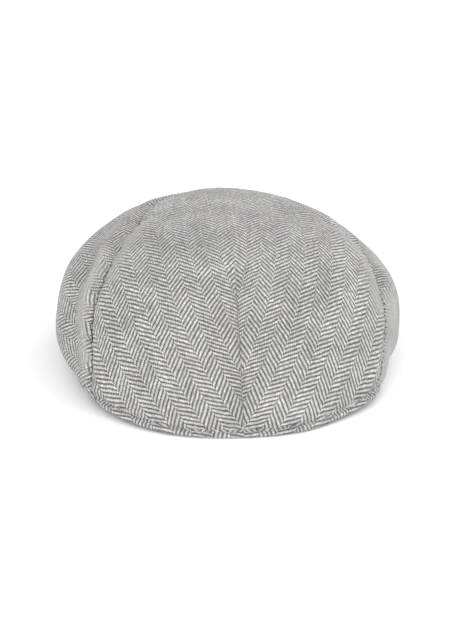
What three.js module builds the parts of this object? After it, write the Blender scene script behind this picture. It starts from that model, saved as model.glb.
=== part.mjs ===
// Duckbill cap: a soft cloth cap whose front panel runs down over a stiff, round peak.
// Millimetres, +Z up, the front of the peak toward -Y. The hem and the peak's edge rest at z = 0.
// Four solids: the top panel with its centre dart, two side panels that meet at the centre back,
// and the peak's board.

import * as THREE from "three";

// Driving dimensions, in millimetres and degrees
const CROWN_HEIGHT = 106;
const POLE_Y = 11;
const CLOTH_WALL = 2;
const SEAM_GAP = 0.3;
const CORNER_ANGLE = 44;
const CORNER_INSET = 0.8;
const DART_TIP_LEVEL = 0.66;

// The cap's form: a quartic profile at each angle round the pole, 0 at the front, 180 at the back.
// rim, belly, shoulder and crown are the profile's guide points, and hem is its flat lower edge's width.
const SECTIONS = table(
  ["angle", "rimR", "rimZ", "bellyR", "bellyZ", "shoulderR", "shoulderZ", "crownR", "hem"],
  [
    [0, 150, 0, 116, 45, 92, 90, 50, 2.4],
    [20, 150, 1, 121, 43, 96, 88, 54, 2.4],
    [40, 144, 4.5, 131, 36, 102, 86, 62, 2.4],
    [55, 120, 6, 149, 25, 110, 85, 67, 2.4],
    [70, 104, 3, 161, 17, 113, 85, 68, 3.5],
    [90, 86, 0, 159, 19, 118, 83, 70, 5],
    [120, 85, 0, 155, 22, 125, 86, 76, 5],
    [150, 93, 0, 151, 20, 133, 91, 84, 5],
    [180, 101, 0, 150, 20, 137, 94, 88, 5],
  ],
);

// Where the seam between the top panel and a side panel crosses each angle, from rim 0 to pole 1.
const SEAM = table(
  ["angle", "left", "right"],
  [
    [44, 0, 0],
    [48, 0.14, 0.1],
    [52, 0.25, 0.17],
    [56, 0.36, 0.25],
    [60, 0.46, 0.35],
    [64, 0.54, 0.44],
    [70, 0.6, 0.51],
    [76, 0.65, 0.58],
    [84, 0.69, 0.65],
    [94, 0.73, 0.7],
    [110, 0.745, 0.73],
    [140, 0.73, 0.73],
    [180, 0.68, 0.68],
  ],
);

// Soft ridges and hollows in the cloth, each along a line between two places on the form.
// A positive height is a ridge and a negative one a hollow. Angles below 0 are on the left.
const FOLDS = table(
  ["fromAngle", "fromLevel", "toAngle", "toLevel", "width", "height"],
  [
    [-62, 0.36, -84, 0.54, 7, 2.4],
    [-84, 0.54, -112, 0.62, 8, 2.4],
    [-74, 0.3, -96, 0.46, 8, -2.2],
    [-96, 0.46, -122, 0.54, 9, -2],
    [66, 0.3, 84, 0.46, 7, 1.8],
    [84, 0.34, 108, 0.48, 9, -1.8],
    [-140, 0.3, -150, 0.5, 10, -1.6],
    [138, 0.28, 152, 0.48, 10, -1.6],
    [-22, 0.3, -14, 0.56, 16, -0.8],
    [26, 0.34, 18, 0.6, 16, -0.8],
  ],
);

// The seam's furrow, the puffed cloth on each side of it, and the crease of the dart
const FURROW = { depth: 3.2, width: 5 };
const SIDE_PUFF = { height: 2, offset: 11, width: 6 };
const TOP_PUFF = { height: 0.8, offset: 13, width: 8 };
const DART = { depth: 1.8, width: 6, fade: 0.16 };
const BACK_SEAM = { depth: 1.2, width: 5 };
const RIM_FADE_LEVEL = 0.1;

// The peak: a crescent board between the cloth's edge and the head opening
const PEAK = {
  endAngle: 72,
  thickness: 3.5,
  edgeLift: 1.2,
  edgeGap: 0.5,
  innerRise: 15,
  archSpan: 84,
  openingCentreY: 14,
  openingHalfWidth: 86,
  openingHalfLength: 98,
  fitSteps: 40,
  fitLevel: 0.12,
  fitMargin: 1,
};

// Facets: degrees between columns, which stand closest along the steep start of the side seams,
// and counts of rows, which crowd toward the edge of the top panel and the seam of the side panels
const FRONT_STEP = 4;
const FINE_STEP = 2;
const BACK_STEP = 6;
const FINE_END_ANGLE = 60;
const TOP_RINGS = 14;
const TOP_CROWDING = 0.65;
const SIDE_ROWS = 12;
const SIDE_CROWDING = 0.3;
const PEAK_ROWS = 4;

const CLOTH = { color: 0xb5b3b2, roughness: 0.95, metalness: 0 };
const PEAK_CLOTH = { color: 0xa9a7a6, roughness: 0.95, metalness: 0 };

function table(columns, rows) {
  return rows.map((row) => Object.fromEntries(columns.map((name, i) => [name, row[i]])));
}

function radians(degrees) {
  return (degrees * Math.PI) / 180;
}

function smoothstep(low, high, value) {
  const u = THREE.MathUtils.clamp((value - low) / (high - low), 0, 1);
  return u * u * (3 - 2 * u);
}

// A cubic through the rows of a table; before and after give the neighbours past its ends.
function cubicAt(rows, key, angle, before, after) {
  const last = rows.length - 2;
  let i = rows.findIndex((row) => row.angle > angle) - 1;
  if (i < 0) i = angle < rows[0].angle ? 0 : last;
  const [p1, p2] = [rows[i], rows[i + 1]];
  const p0 = i > 0 ? rows[i - 1] : before;
  const p3 = i < last ? rows[i + 2] : after;
  const span = p2.angle - p1.angle;
  const slope1 = ((p2[key] - p0[key]) / (p2.angle - p0.angle)) * span;
  const slope2 = ((p3[key] - p1[key]) / (p3.angle - p1.angle)) * span;
  const u = (angle - p1.angle) / span;
  const [u2, u3] = [u * u, u * u * u];
  const ends = (2 * u3 - 3 * u2 + 1) * p1[key] + (3 * u2 - 2 * u3) * p2[key];
  return ends + (u3 - 2 * u2 + u) * slope1 + (u3 - u2) * slope2;
}

// One guide value of the form at an angle; the table is mirrored past the front and the back.
function sectionAt(key, angle) {
  const before = { ...SECTIONS[1], angle: -SECTIONS[1].angle };
  const beyond = SECTIONS[SECTIONS.length - 2];
  const after = { ...beyond, angle: 360 - beyond.angle };
  return cubicAt(SECTIONS, key, Math.abs(angle), before, after);
}

// The seam's level on one side, at an angle from the front; before the corner it is below the rim.
function seamLevelOn(key, a) {
  const [first, second] = SEAM;
  if (a < first.angle) {
    return ((a - first.angle) * second[key]) / (second.angle - first.angle);
  }
  const before = { ...first, angle: 2 * first.angle - second.angle, [key]: -second[key] };
  const beyond = SEAM[SEAM.length - 2];
  return cubicAt(SEAM, key, a, before, { ...beyond, angle: 360 - beyond.angle });
}

function seamLevel(angle) {
  return seamLevelOn(angle < 0 ? "left" : "right", Math.abs(angle));
}

// The smooth form without folds, from rim at level 0 to pole at level 1.
function formPoint(angle, level) {
  const t = level;
  const s = 1 - t;
  const weights = [s ** 4, 4 * t * s ** 3, 6 * t * t * s * s, 4 * t ** 3 * s, t ** 4];
  const guides = ["rimR", "bellyR", "shoulderR", "crownR"];
  const radii = [...guides.map((key) => sectionAt(key, angle)), 0];
  const lower = [Math.max(0, sectionAt("rimZ", angle)), sectionAt("bellyZ", angle)];
  const heights = [...lower, sectionAt("shoulderZ", angle), CROWN_HEIGHT, CROWN_HEIGHT];
  const radius = weights.reduce((sum, w, i) => sum + w * radii[i], 0);
  const height = weights.reduce((sum, w, i) => sum + w * heights[i], 0);
  const a = radians(angle);
  return new THREE.Vector3(radius * Math.sin(a), POLE_Y - radius * Math.cos(a), height);
}

// Outward normal of the form, and how many millimetres one degree and one level are there.
function formFrame(angle, level) {
  const [dAngle, dLevel] = [0.5, 0.004];
  const low = Math.max(0, level - dLevel);
  const high = Math.min(1 - dLevel, level + dLevel);
  const t = Math.min(level, 1 - dLevel);
  const round = formPoint(angle + dAngle, t).sub(formPoint(angle - dAngle, t));
  const up = formPoint(angle, Math.max(high, low + dLevel)).sub(formPoint(angle, low));
  const normal = new THREE.Vector3().crossVectors(round, up).normalize();
  if (level >= 1 - dLevel) normal.set(0, 0, 1);
  return {
    normal,
    perDegree: round.length() / (2 * dAngle),
    perLevel: up.length() / (Math.max(high, low + dLevel) - low),
  };
}

function bump(distance, width) {
  return Math.exp(-((distance / width) ** 2));
}

// Signed distance from the side seam in millimetres, above 0 on the top panel.
function seamDistance(angle, level) {
  const key = angle < 0 ? "left" : "right";
  const a = Math.abs(angle);
  const seam = seamLevelOn(key, a);
  const slope = seamLevelOn(key, a + 0.5) - seamLevelOn(key, a - 0.5);
  const frame = formFrame(angle, Math.max(0, seam));
  return (level - seam) / Math.hypot(1 / frame.perLevel, slope / frame.perDegree);
}

// Height of one fold at a place, from its distance to the fold's line.
function foldHeight(fold, angle, level, frame) {
  const run = (fold.toAngle - fold.fromAngle) * frame.perDegree;
  const rise = (fold.toLevel - fold.fromLevel) * frame.perLevel;
  const across = (angle - fold.fromAngle) * frame.perDegree;
  const above = (level - fold.fromLevel) * frame.perLevel;
  const along = (across * run + above * rise) / (run * run + rise * rise);
  const share = THREE.MathUtils.clamp(along, 0, 1);
  const distance = Math.hypot(across - share * run, above - share * rise);
  return fold.height * bump(distance, fold.width);
}

// How far the cloth stands out from the smooth form.
function relief(angle, level, frame) {
  const seam = seamDistance(angle, level);
  const fromRim = smoothstep(0, RIM_FADE_LEVEL, level);
  const furrow = -FURROW.depth * bump(seam, FURROW.width);
  const sidePuff = SIDE_PUFF.height * bump(seam + SIDE_PUFF.offset, SIDE_PUFF.width);
  const topPuff = TOP_PUFF.height * bump(seam - TOP_PUFF.offset, TOP_PUFF.width);
  const dartLine = Math.abs(angle) * frame.perDegree;
  const dartShare = 1 - smoothstep(DART_TIP_LEVEL - DART.fade, DART_TIP_LEVEL, level);
  const dart = -DART.depth * Math.exp(-dartLine / DART.width) * dartShare;
  const backLine = (180 - Math.abs(angle)) * frame.perDegree;
  const back = seam < 0 ? -BACK_SEAM.depth * bump(backLine, BACK_SEAM.width) : 0;
  const folds = FOLDS.reduce((sum, fold) => sum + foldHeight(fold, angle, level, frame), 0);
  return fromRim * (furrow + sidePuff + topPuff + dart + back + folds);
}

// A point of the cloth: depth 0 on its outer face and CLOTH_WALL on its inner face.
// The wall's depth runs level at the rim, for the hem's flat lower face, and square to the cloth above.
function clothPoint(angle, level, depth) {
  const a = radians(angle);
  const frame = formFrame(angle, level);
  const hem = new THREE.Vector3(-Math.sin(a), Math.cos(a), 0).multiplyScalar(sectionAt("hem", angle));
  const square = frame.normal.clone().multiplyScalar(-CLOTH_WALL);
  const across = hem.lerp(square, Math.min(1, level / RIM_FADE_LEVEL));
  const face = formPoint(angle, level).addScaledVector(frame.normal, relief(angle, level, frame));
  return face.addScaledVector(across, depth / CLOTH_WALL);
}

// The level at which the side panel ends, the seam's gap below the top panel's straight facet edge.
function sidePanelTop(angle) {
  const corner = Math.sign(angle) * CORNER_ANGLE;
  const next = Math.sign(angle) * (CORNER_ANGLE + FINE_STEP);
  const share = (angle - corner) / (next - corner);
  const level = share < 1 ? share * seamLevel(next) : seamLevel(angle);
  const perLevelAcrossSeam = seamDistance(angle, seamLevel(angle) + 1);
  return level - SEAM_GAP / perLevelAcrossSeam;
}

// A closed solid from an outer and an inner grid of points with the same rows and columns.
function wallSolid(outer, inner) {
  const columns = outer[0].length;
  const [top, end] = [outer.length - 1, columns - 1];
  const points = [...outer.flat(), ...inner.flat()];
  const at = (side, r, c) => side * outer.length * columns + r * columns + c;
  const faces = [];
  const quad = (a, b, c, d) => faces.push(a, b, c, a, c, d);
  for (let r = 0; r < top; r++) {
    for (let c = 0; c < end; c++) {
      quad(at(0, r, c), at(0, r, c + 1), at(0, r + 1, c + 1), at(0, r + 1, c));
      quad(at(1, r, c), at(1, r + 1, c), at(1, r + 1, c + 1), at(1, r, c + 1));
    }
  }
  for (let c = 0; c < end; c++) {
    quad(at(0, 0, c), at(1, 0, c), at(1, 0, c + 1), at(0, 0, c + 1));
    quad(at(0, top, c), at(0, top, c + 1), at(1, top, c + 1), at(1, top, c));
  }
  for (let r = 0; r < top; r++) {
    quad(at(0, r, 0), at(0, r + 1, 0), at(1, r + 1, 0), at(1, r, 0));
    quad(at(0, r, end), at(1, r, end), at(1, r + 1, end), at(0, r + 1, end));
  }
  return geometryOf(points, faces);
}

// A closed solid from two domed sheets of rings round one pole, joined along their outer edge.
function domeSolid(outerRings, innerRings, outerPole, innerPole) {
  const columns = outerRings[0].length;
  const rings = outerRings.length;
  const points = [...outerRings.flat(), ...innerRings.flat(), outerPole, innerPole];
  const at = (side, r, c) => side * rings * columns + r * columns + (c % columns);
  const poles = [points.length - 2, points.length - 1];
  const faces = [];
  const quad = (a, b, c, d) => faces.push(a, b, c, a, c, d);
  for (let c = 0; c < columns; c++) {
    for (let r = 0; r < rings - 1; r++) {
      quad(at(0, r, c), at(0, r, c + 1), at(0, r + 1, c + 1), at(0, r + 1, c));
      quad(at(1, r, c), at(1, r + 1, c), at(1, r + 1, c + 1), at(1, r, c + 1));
    }
    faces.push(at(0, rings - 1, c), at(0, rings - 1, c + 1), poles[0]);
    faces.push(at(1, rings - 1, c + 1), at(1, rings - 1, c), poles[1]);
    quad(at(0, 0, c), at(1, 0, c), at(1, 0, c + 1), at(0, 0, c + 1));
  }
  return geometryOf(points, faces);
}

function geometryOf(points, faces) {
  const geometry = new THREE.BufferGeometry().setFromPoints(points);
  geometry.setIndex(faces);
  geometry.computeVertexNormals();
  return geometry;
}

// Even steps from 0 to 1, each passed through a shape.
function steps(count, shape = (u) => u) {
  return Array.from({ length: count + 1 }, (_, i) => shape(i / count));
}

// Crowds even steps toward 0, or toward 1 where the crowding is negative.
function crowded(crowding) {
  return (u) => u * (1 - crowding + crowding * u);
}

function columnsBetween(from, to, step) {
  return steps(Math.round((to - from) / step), (u) => from + u * (to - from));
}

// The columns of one half of the cap, from the front at 0 to the back at 180.
function halfColumns() {
  const front = columnsBetween(0, CORNER_ANGLE, FRONT_STEP);
  const fine = columnsBetween(CORNER_ANGLE, FINE_END_ANGLE, FINE_STEP).slice(1);
  const back = columnsBetween(FINE_END_ANGLE, 180, BACK_STEP).slice(1);
  return [...front, ...fine, ...back];
}

// Front and top cloth: rings from its edge up to the pole, closer together near the edge.
function topPanel() {
  const half = halfColumns();
  const left = half.slice(1).map((angle) => -angle).reverse();
  const angles = [...left, ...half.slice(0, -1)];
  const shares = steps(TOP_RINGS, crowded(TOP_CROWDING)).slice(0, -1);
  const sheet = (depth) =>
    shares.map((share) =>
      angles.map((angle) => {
        const edge = Math.max(0, seamLevel(angle));
        return clothPoint(angle, edge + (1 - edge) * share, depth);
      }),
    );
  const poles = [clothPoint(0, 1, 0), clothPoint(0, 1, CLOTH_WALL)];
  return domeSolid(sheet(0), sheet(CLOTH_WALL), ...poles);
}

// One side's cloth, from the peak's corner to the centre back and from the hem to the seam.
function sidePanel(side) {
  const backGap = SEAM_GAP / 2 / formFrame(180, RIM_FADE_LEVEL).perDegree;
  const angles = halfColumns().filter((angle) => angle > CORNER_ANGLE);
  angles.unshift(CORNER_ANGLE + CORNER_INSET);
  angles[angles.length - 1] = 180 - backGap;
  const ordered = side < 0 ? angles.map((angle) => -angle).reverse() : angles;
  const shares = steps(SIDE_ROWS, crowded(-SIDE_CROWDING));
  const sheet = (depth) =>
    shares.map((share) =>
      ordered.map((angle) => clothPoint(angle, sidePanelTop(angle) * share, depth)),
    );
  return wallSolid(sheet(0), sheet(CLOTH_WALL));
}

// Smallest radius of the cloth's inner face from the rim up to a height.
function innerRadiusAt(angle, height) {
  const levels = steps(PEAK.fitSteps, (u) => PEAK.fitLevel * u);
  const inner = levels.map((level) => clothPoint(angle, level, CLOTH_WALL));
  const near = inner.filter((point) => point.z <= height + PEAK.fitMargin);
  return Math.min(...near.map((point) => Math.hypot(point.x, point.y - POLE_Y)));
}

// Radius of the head opening's front arc at an angle round the pole.
function openingRadius(angle) {
  const a = radians(angle);
  const [sx, sy] = [Math.sin(a) / PEAK.openingHalfWidth, -Math.cos(a) / PEAK.openingHalfLength];
  const shift = (POLE_Y - PEAK.openingCentreY) / PEAK.openingHalfLength;
  const square = sx * sx + sy * sy;
  const half = sy * shift;
  return (-half + Math.sqrt(half * half - square * (shift * shift - 1))) / square;
}

// Board point: share 0 at the outer edge and 1 at the head opening, lift 0 below and 1 above.
function peakPoint(angle, share, lift) {
  const edgeZ = Math.max(0, sectionAt("rimZ", angle)) + PEAK.edgeLift;
  const arch = Math.cos((radians(90) * angle) / PEAK.archSpan) ** 2;
  const outerR = innerRadiusAt(angle, edgeZ + PEAK.thickness * lift) - PEAK.edgeGap;
  const innerR = openingRadius(angle);
  const radius = THREE.MathUtils.lerp(outerR, innerR, share);
  const rise = PEAK.innerRise * arch * Math.sin(radians(90) * share);
  const height = edgeZ + rise + PEAK.thickness * lift;
  const a = radians(angle);
  return new THREE.Vector3(radius * Math.sin(a), POLE_Y - radius * Math.cos(a), height);
}

function peakBoard() {
  const half = halfColumns().filter((angle) => angle <= PEAK.endAngle);
  const left = half.slice(1).map((angle) => -angle).reverse();
  const angles = [...left, ...half];
  const face = (lift) =>
    steps(PEAK_ROWS).map((share) => angles.map((angle) => peakPoint(angle, share, lift)));
  return wallSolid(face(1), face(0));
}

function piece(name, geometry, finish) {
  const mesh = new THREE.Mesh(geometry, new THREE.MeshStandardMaterial(finish));
  mesh.name = name;
  return mesh;
}

const cap = new THREE.Group();
cap.add(piece("top_panel", topPanel(), CLOTH));
cap.add(piece("side_panel_left", sidePanel(-1), CLOTH));
cap.add(piece("side_panel_right", sidePanel(1), CLOTH));
cap.add(piece("peak", peakBoard(), PEAK_CLOTH));

export default cap;
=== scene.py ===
"""Duckbill cap: a soft wool cap with a full crown and a round, stiff peak, in grey herringbone cloth.

Every panel lies on one form. A place on it is an angle round the crown, 0 at the front, 180 at the back
and below 0 on the left, and a level from the rim at 0 to the middle of the crown at 1. Lengths are in
millimetres until a mesh is made.
"""

import logging
import math
from dataclasses import dataclass, field
from enum import Enum

import bpy
import numpy as np
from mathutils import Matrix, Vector


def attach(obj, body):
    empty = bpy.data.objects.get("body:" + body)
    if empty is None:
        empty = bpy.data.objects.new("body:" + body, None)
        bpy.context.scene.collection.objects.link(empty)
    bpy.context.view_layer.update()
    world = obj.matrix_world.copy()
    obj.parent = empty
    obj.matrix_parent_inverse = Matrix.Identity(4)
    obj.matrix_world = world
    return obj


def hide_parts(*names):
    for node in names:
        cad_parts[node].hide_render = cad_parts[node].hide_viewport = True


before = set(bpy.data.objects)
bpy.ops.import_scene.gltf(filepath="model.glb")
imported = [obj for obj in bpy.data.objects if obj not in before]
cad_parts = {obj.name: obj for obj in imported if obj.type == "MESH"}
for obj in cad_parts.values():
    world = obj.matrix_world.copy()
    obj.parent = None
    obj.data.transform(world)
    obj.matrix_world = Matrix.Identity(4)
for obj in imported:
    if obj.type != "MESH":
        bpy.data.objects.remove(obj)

LOG = logging.getLogger("duckbill_cap")
MM = 0.001
CLOTH_MAP = "ClothGrain"
NORMAL_ATTRIBUTE = "surface_normal"
NAP_AND_SHEEN_ATTRIBUTE = "nap_and_sheen"


class Side(Enum):
    """The two sides of the cap, as the front shows them."""

    LEFT = "left"
    RIGHT = "right"

    @property
    def sign(self) -> int:
        """Sign of this side's angles and of its x."""
        return -1 if self is Side.LEFT else 1


class Slot(Enum):
    """The finishes that the record names."""

    HERRINGBONE = "herringbone_cloth"
    PEAK_UNDER = "peak_under_cloth"


class StitchLie(Enum):
    """How a stitch lies on its line."""

    ALONG = 0.0
    ACROSS = 1.0


@dataclass(frozen=True)
class AngleTable:
    """Values against the angle from the front, with one smooth curve through them."""

    columns: tuple[str, ...]
    rows: tuple[tuple[float, ...], ...]
    mirrored_start: bool = True

    def angles(self) -> np.ndarray:
        """The rows' angles."""
        return np.array([row[0] for row in self.rows], float)

    def at(self, name: str, angle: np.ndarray) -> np.ndarray:
        """Reads one column at some angles.

        Args:
            name: The column.
            angle: Angles from the front, none below 0.

        Returns:
            The column's values there.
        """
        column = self.columns.index(name)
        values = np.array([row[column] for row in self.rows], float)
        angles = self.angles()
        first = (-angles[1], values[1]) if self.mirrored_start else (2 * angles[0] - angles[1], -values[1])
        angles = np.concatenate([[first[0]], angles, [360 - angles[-2]]])
        values = np.concatenate([[first[1]], values, [values[-2]]])
        i = np.clip(np.searchsorted(angles, angle, side="right") - 1, 1, len(angles) - 3)
        span = angles[i + 1] - angles[i]
        slope_1 = (values[i + 1] - values[i - 1]) / (angles[i + 1] - angles[i - 1]) * span
        slope_2 = (values[i + 2] - values[i]) / (angles[i + 2] - angles[i]) * span
        u = (angle - angles[i]) / span
        ends = (2 * u**3 - 3 * u**2 + 1) * values[i] + (3 * u**2 - 2 * u**3) * values[i + 1]
        return ends + (u**3 - 2 * u**2 + u) * slope_1 + (u**3 - u**2) * slope_2


@dataclass(frozen=True)
class Fold:
    """A soft ridge along a line of angles, levels and heights. Where a height is below 0 it is a hollow.

    Its last field says how far the lighter nap colour hides the weave along it, from 0 to 1; on the right
    side that is painted sheen, the rolls made lighter and washed out where the light from the right grazes
    them.
    """

    name: str
    line: tuple[tuple[float, float, float], ...]
    width: float
    nap_and_sheen: float = 0.0


@dataclass(frozen=True)
class Trim:
    """How far the cloth is drawn in round one angle, in millimetres. Below 0 it is let out."""

    angle: float
    width: float
    depth: float


@dataclass(frozen=True)
class Frame:
    """The form's outward normal at some places, and the millimetres of one degree and one level there."""

    normal: np.ndarray
    per_degree: np.ndarray
    per_level: np.ndarray


def smoothstep(low: float, high: float, value: np.ndarray) -> np.ndarray:
    """0 below low, 1 above high and a smooth rise between them."""
    u = np.clip((value - low) / (high - low), 0, 1)
    return u * u * (3 - 2 * u)


def bump(distance: np.ndarray, width: float) -> np.ndarray:
    """A round hump of height 1 and this half width."""
    return np.exp(-((distance / width) ** 2))


def unit(vectors: np.ndarray) -> np.ndarray:
    """The vectors at length 1."""
    return vectors / np.maximum(np.linalg.norm(vectors, axis=-1, keepdims=True), 1e-12)


def in_scene(name: str, data: bpy.types.ID) -> bpy.types.Object:
    """Makes an object and puts it in the scene.

    Args:
        name: The object's name.
        data: Its mesh, light or camera.

    Returns:
        The object.
    """
    made = bpy.data.objects.new(name, data)
    bpy.context.scene.collection.objects.link(made)
    return made


@dataclass(frozen=True)
class Ripple:
    """Small soft unevenness, the same each time for one seed."""

    wavelength: float
    height: float
    seed: int
    waves: int = 14
    spread: float = 0.45

    def at(self, points: np.ndarray) -> np.ndarray:
        """Reads the unevenness.

        Args:
            points: Places in millimetres, with the coordinates last.

        Returns:
            Heights in millimetres, about 0.
        """
        rng = np.random.default_rng(self.seed)
        total = np.zeros(points.shape[:-1])
        for _ in range(self.waves):
            direction = unit(rng.normal(size=points.shape[-1]))
            length = self.wavelength * (1 + self.spread * rng.uniform(-1, 1))
            total += np.sin(points @ direction * (2 * math.pi / length) + rng.uniform(0, 2 * math.pi))
        return self.height * total / math.sqrt(self.waves)


@dataclass(frozen=True)
class CapForm:
    """The shape of the whole cap, seams and folds included.

    A furrow, a pinch and a groove are a depth and a width. A puff is a height, its distance from the seam
    and a width. The crisp furrow is by the peak, and the soft one is where the seam has softened.
    """

    crown_height: float = 106
    pole_y: float = 11
    wall: float = 2
    corner_angle: float = 44
    dart_tip_level: float = 0.66
    rim_fade_level: float = 0.1
    crisp_furrow: tuple[float, float] = (1.6, 4)
    soft_furrow: tuple[float, float] = (2.3, 8)
    seam_softens: tuple[float, float] = (60, 74)
    side_puff: tuple[float, float, float] = (1.4, 9, 6)
    top_puff: tuple[float, float, float] = (0.8, 13, 8)
    dart_depth: float = 1.8
    dart_width: float = 6
    dart_fade: float = 0.16
    back_seam: tuple[float, float] = (1.2, 5)
    pinch: tuple[float, float] = (1.2, 1.1)
    soft_pinch: float = 0.3
    dart_pinch: tuple[float, float] = (1.6, 0.9)
    corner_trims: tuple[Trim, ...] = (
        Trim(-36, 10, 3.4),
        Trim(33, 14, 5.4),
        Trim(-49, 5, -4),
        Trim(50, 6, -3),
    )
    corner_trim_level: float = 0.3
    edge_groove_at: float = 5.2
    edge_groove: tuple[float, float] = (2.0, 1.5)
    edge_roll: float = 1.3
    edge_fade: float = 2
    pucker_reach: float = 9
    dart_pucker: float = 0.5
    puckers: Ripple = Ripple(11, 0.5, 21)
    softness: Ripple = Ripple(42, 0.45, 4)
    sections: AngleTable = AngleTable(
        ("angle", "rim_r", "rim_z", "belly_r", "belly_z", "shoulder_r", "shoulder_z", "crown_r", "hem"),
        (
            (0, 150, 0, 116, 45, 92, 90, 50, 2.4),
            (20, 150, 1, 121, 43, 96, 88, 54, 2.4),
            (40, 144, 4.5, 131, 36, 102, 86, 62, 2.4),
            (55, 120, 6, 149, 25, 110, 85, 67, 2.4),
            (70, 104, 3, 161, 17, 113, 85, 68, 3.5),
            (90, 86, 0, 159, 19, 118, 83, 70, 5),
            (120, 85, 0, 155, 22, 125, 86, 76, 5),
            (150, 93, 0, 151, 20, 133, 91, 84, 5),
            (180, 101, 0, 150, 20, 137, 94, 88, 5),
        ),
    )
    seam: AngleTable = AngleTable(
        ("angle", "left", "right"),
        (
            (44, 0, 0),
            (48, 0.14, 0.1),
            (52, 0.25, 0.17),
            (56, 0.36, 0.25),
            (60, 0.46, 0.34),
            (64, 0.54, 0.405),
            (70, 0.6, 0.47),
            (76, 0.65, 0.53),
            (84, 0.69, 0.6),
            (94, 0.73, 0.665),
            (110, 0.745, 0.71),
            (140, 0.73, 0.73),
            (180, 0.68, 0.68),
        ),
        mirrored_start=False,
    )
    folds: tuple[Fold, ...] = (
        Fold(
            "roll below the left seam",
            (
                (-52, 0.2, 0.5), (-60, 0.4, 0.8), (-72, 0.557, 2.4),
                (-82, 0.612, 2.8), (-96, 0.655, 2), (-118, 0.7, 1),
            ),
            5,
            0.5,
        ),
        Fold(
            "valley below the left roll",
            ((-58, 0.2, -2), (-68, 0.37, -5), (-80, 0.5, -6.5), (-94, 0.575, -5), (-116, 0.63, -2)),
            9,
        ),
        Fold(
            "fullness of the left side",
            (
                (-62, 0.1, 0), (-70, 0.24, 0.5), (-76, 0.33, 1),
                (-88, 0.42, 2), (-104, 0.49, 0.5), (-124, 0.52, 0),
            ),
            14,
        ),
        Fold(
            "roll above the left seam",
            ((-60, 0.54, 0.5), (-66, 0.62, 1.2), (-76, 0.7, 1.6), (-92, 0.77, 1.2)),
            6,
            0.6,
        ),
        Fold(
            "bulge behind the left corner",
            ((-47, 0.06, 3), (-55, 0.09, 5), (-64, 0.1, 3), (-74, 0.08, 1)),
            10,
        ),
        Fold("dip at the back of the left seam", ((-150, 0.68, -0.6), (-178, 0.66, -0.8)), 18),
        # Painted sheen: its nap share of 0.9 makes this roll light grey and washed out where the light from
        # the right grazes it.
        Fold(
            "roll above the right seam",
            (
                (58, 0.39, 0.5), (62, 0.45, 1.5), (66, 0.505, 2.5),
                (72, 0.56, 3.2), (78, 0.625, 3.4), (86, 0.69, 3),
            ),
            7,
            0.9,
        ),
        Fold(
            "valley along the right seam",
            (
                (66, 0.42, -1), (72, 0.47, -3.5), (80, 0.525, -5.5),
                (88, 0.57, -5.5), (98, 0.63, -3), (106, 0.66, -1),
            ),
            7,
        ),
        # Painted sheen: its nap share of 0.6 lightens this side where the light from the right falls on it.
        Fold(
            "fullness of the right side",
            ((60, 0.1, 0), (66, 0.22, 0), (74, 0.34, 0.5), (86, 0.44, 1), (104, 0.5, 0)),
            12,
            0.6,
        ),
        # No relief, only painted sheen: nap colour over the weave beside the right seam, standing in for the
        # light from the right.
        Fold(
            "painted sheen by the right seam",
            ((47, 0.03, 0), (51, 0.1, 0), (56, 0.19, 0), (60, 0.27, 0), (64, 0.34, 0), (68, 0.39, 0)),
            9,
            0.85,
        ),
        Fold(
            "lighter cloth by the left seam",
            ((-46, 0.03, 0), (-52, 0.2, 0), (-58, 0.35, 0), (-64, 0.47, 0), (-70, 0.56, 0)),
            5,
            0.2,
        ),
        Fold("dent low on the right side", ((60, 0.16, -2.5), (74, 0.26, -3.5), (84, 0.3, -1)), 14),
        Fold(
            "hollow of the right side's back",
            ((100, 0.5, -2.5), (116, 0.57, -4), (122, 0.66, -4), (150, 0.68, -2), (178, 0.67, -0.8)),
            20,
        ),
        Fold("dent of the left back", ((-140, 0.3, -1.6), (-150, 0.5, -1.6)), 10),
        Fold("dent of the right back", ((138, 0.28, -1.6), (152, 0.48, -1.6)), 10),
        Fold("dent left of the dart", ((-22, 0.3, -0.8), (-14, 0.56, -0.8)), 16),
        Fold("dent right of the dart", ((26, 0.34, -0.8), (18, 0.6, -0.8)), 16),
    )

    def point(self, angle: np.ndarray, level: np.ndarray) -> np.ndarray:
        """Places on the smooth form.

        Args:
            angle: Angles, in degrees.
            level: Levels from the rim at 0 to the pole at 1.

        Returns:
            Points in millimetres, with the coordinates last.
        """
        t = np.asarray(level, float)
        s = 1 - t
        away = np.abs(angle)
        weights = [s**4, 4 * t * s**3, 6 * t * t * s * s, 4 * t**3 * s, t**4]
        radii = [self.sections.at(name, away) for name in ("rim_r", "belly_r", "shoulder_r", "crown_r")]
        lower = [np.maximum(0, self.sections.at("rim_z", away)), self.sections.at("belly_z", away)]
        heights = [*lower, self.sections.at("shoulder_z", away), self.crown_height, self.crown_height]
        radius = sum(w * r for w, r in zip(weights, radii))
        height = sum(w * h for w, h in zip(weights, heights))
        a = np.radians(angle)
        return np.stack([radius * np.sin(a), self.pole_y - radius * np.cos(a), height], -1)

    def frame_at(self, angle: np.ndarray, level: np.ndarray) -> Frame:
        """The form's normal and scale at some places.

        Args:
            angle: Angles, in degrees.
            level: Levels.

        Returns:
            The normal and the two scales.
        """
        d_angle, d_level = 0.5, 0.004
        t = np.minimum(level, 1 - d_level)
        low = np.maximum(0, level - d_level)
        high = np.maximum(np.minimum(1 - d_level, level + d_level), low + d_level)
        around = self.point(angle + d_angle, t) - self.point(angle - d_angle, t)
        up = self.point(angle, high) - self.point(angle, low)
        normal = unit(np.cross(around, up))
        normal = np.where((level >= 1 - d_level)[..., None], [0.0, 0.0, 1.0], normal)
        return Frame(
            normal,
            np.linalg.norm(around, axis=-1) / (2 * d_angle),
            np.linalg.norm(up, axis=-1) / (high - low),
        )

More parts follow.
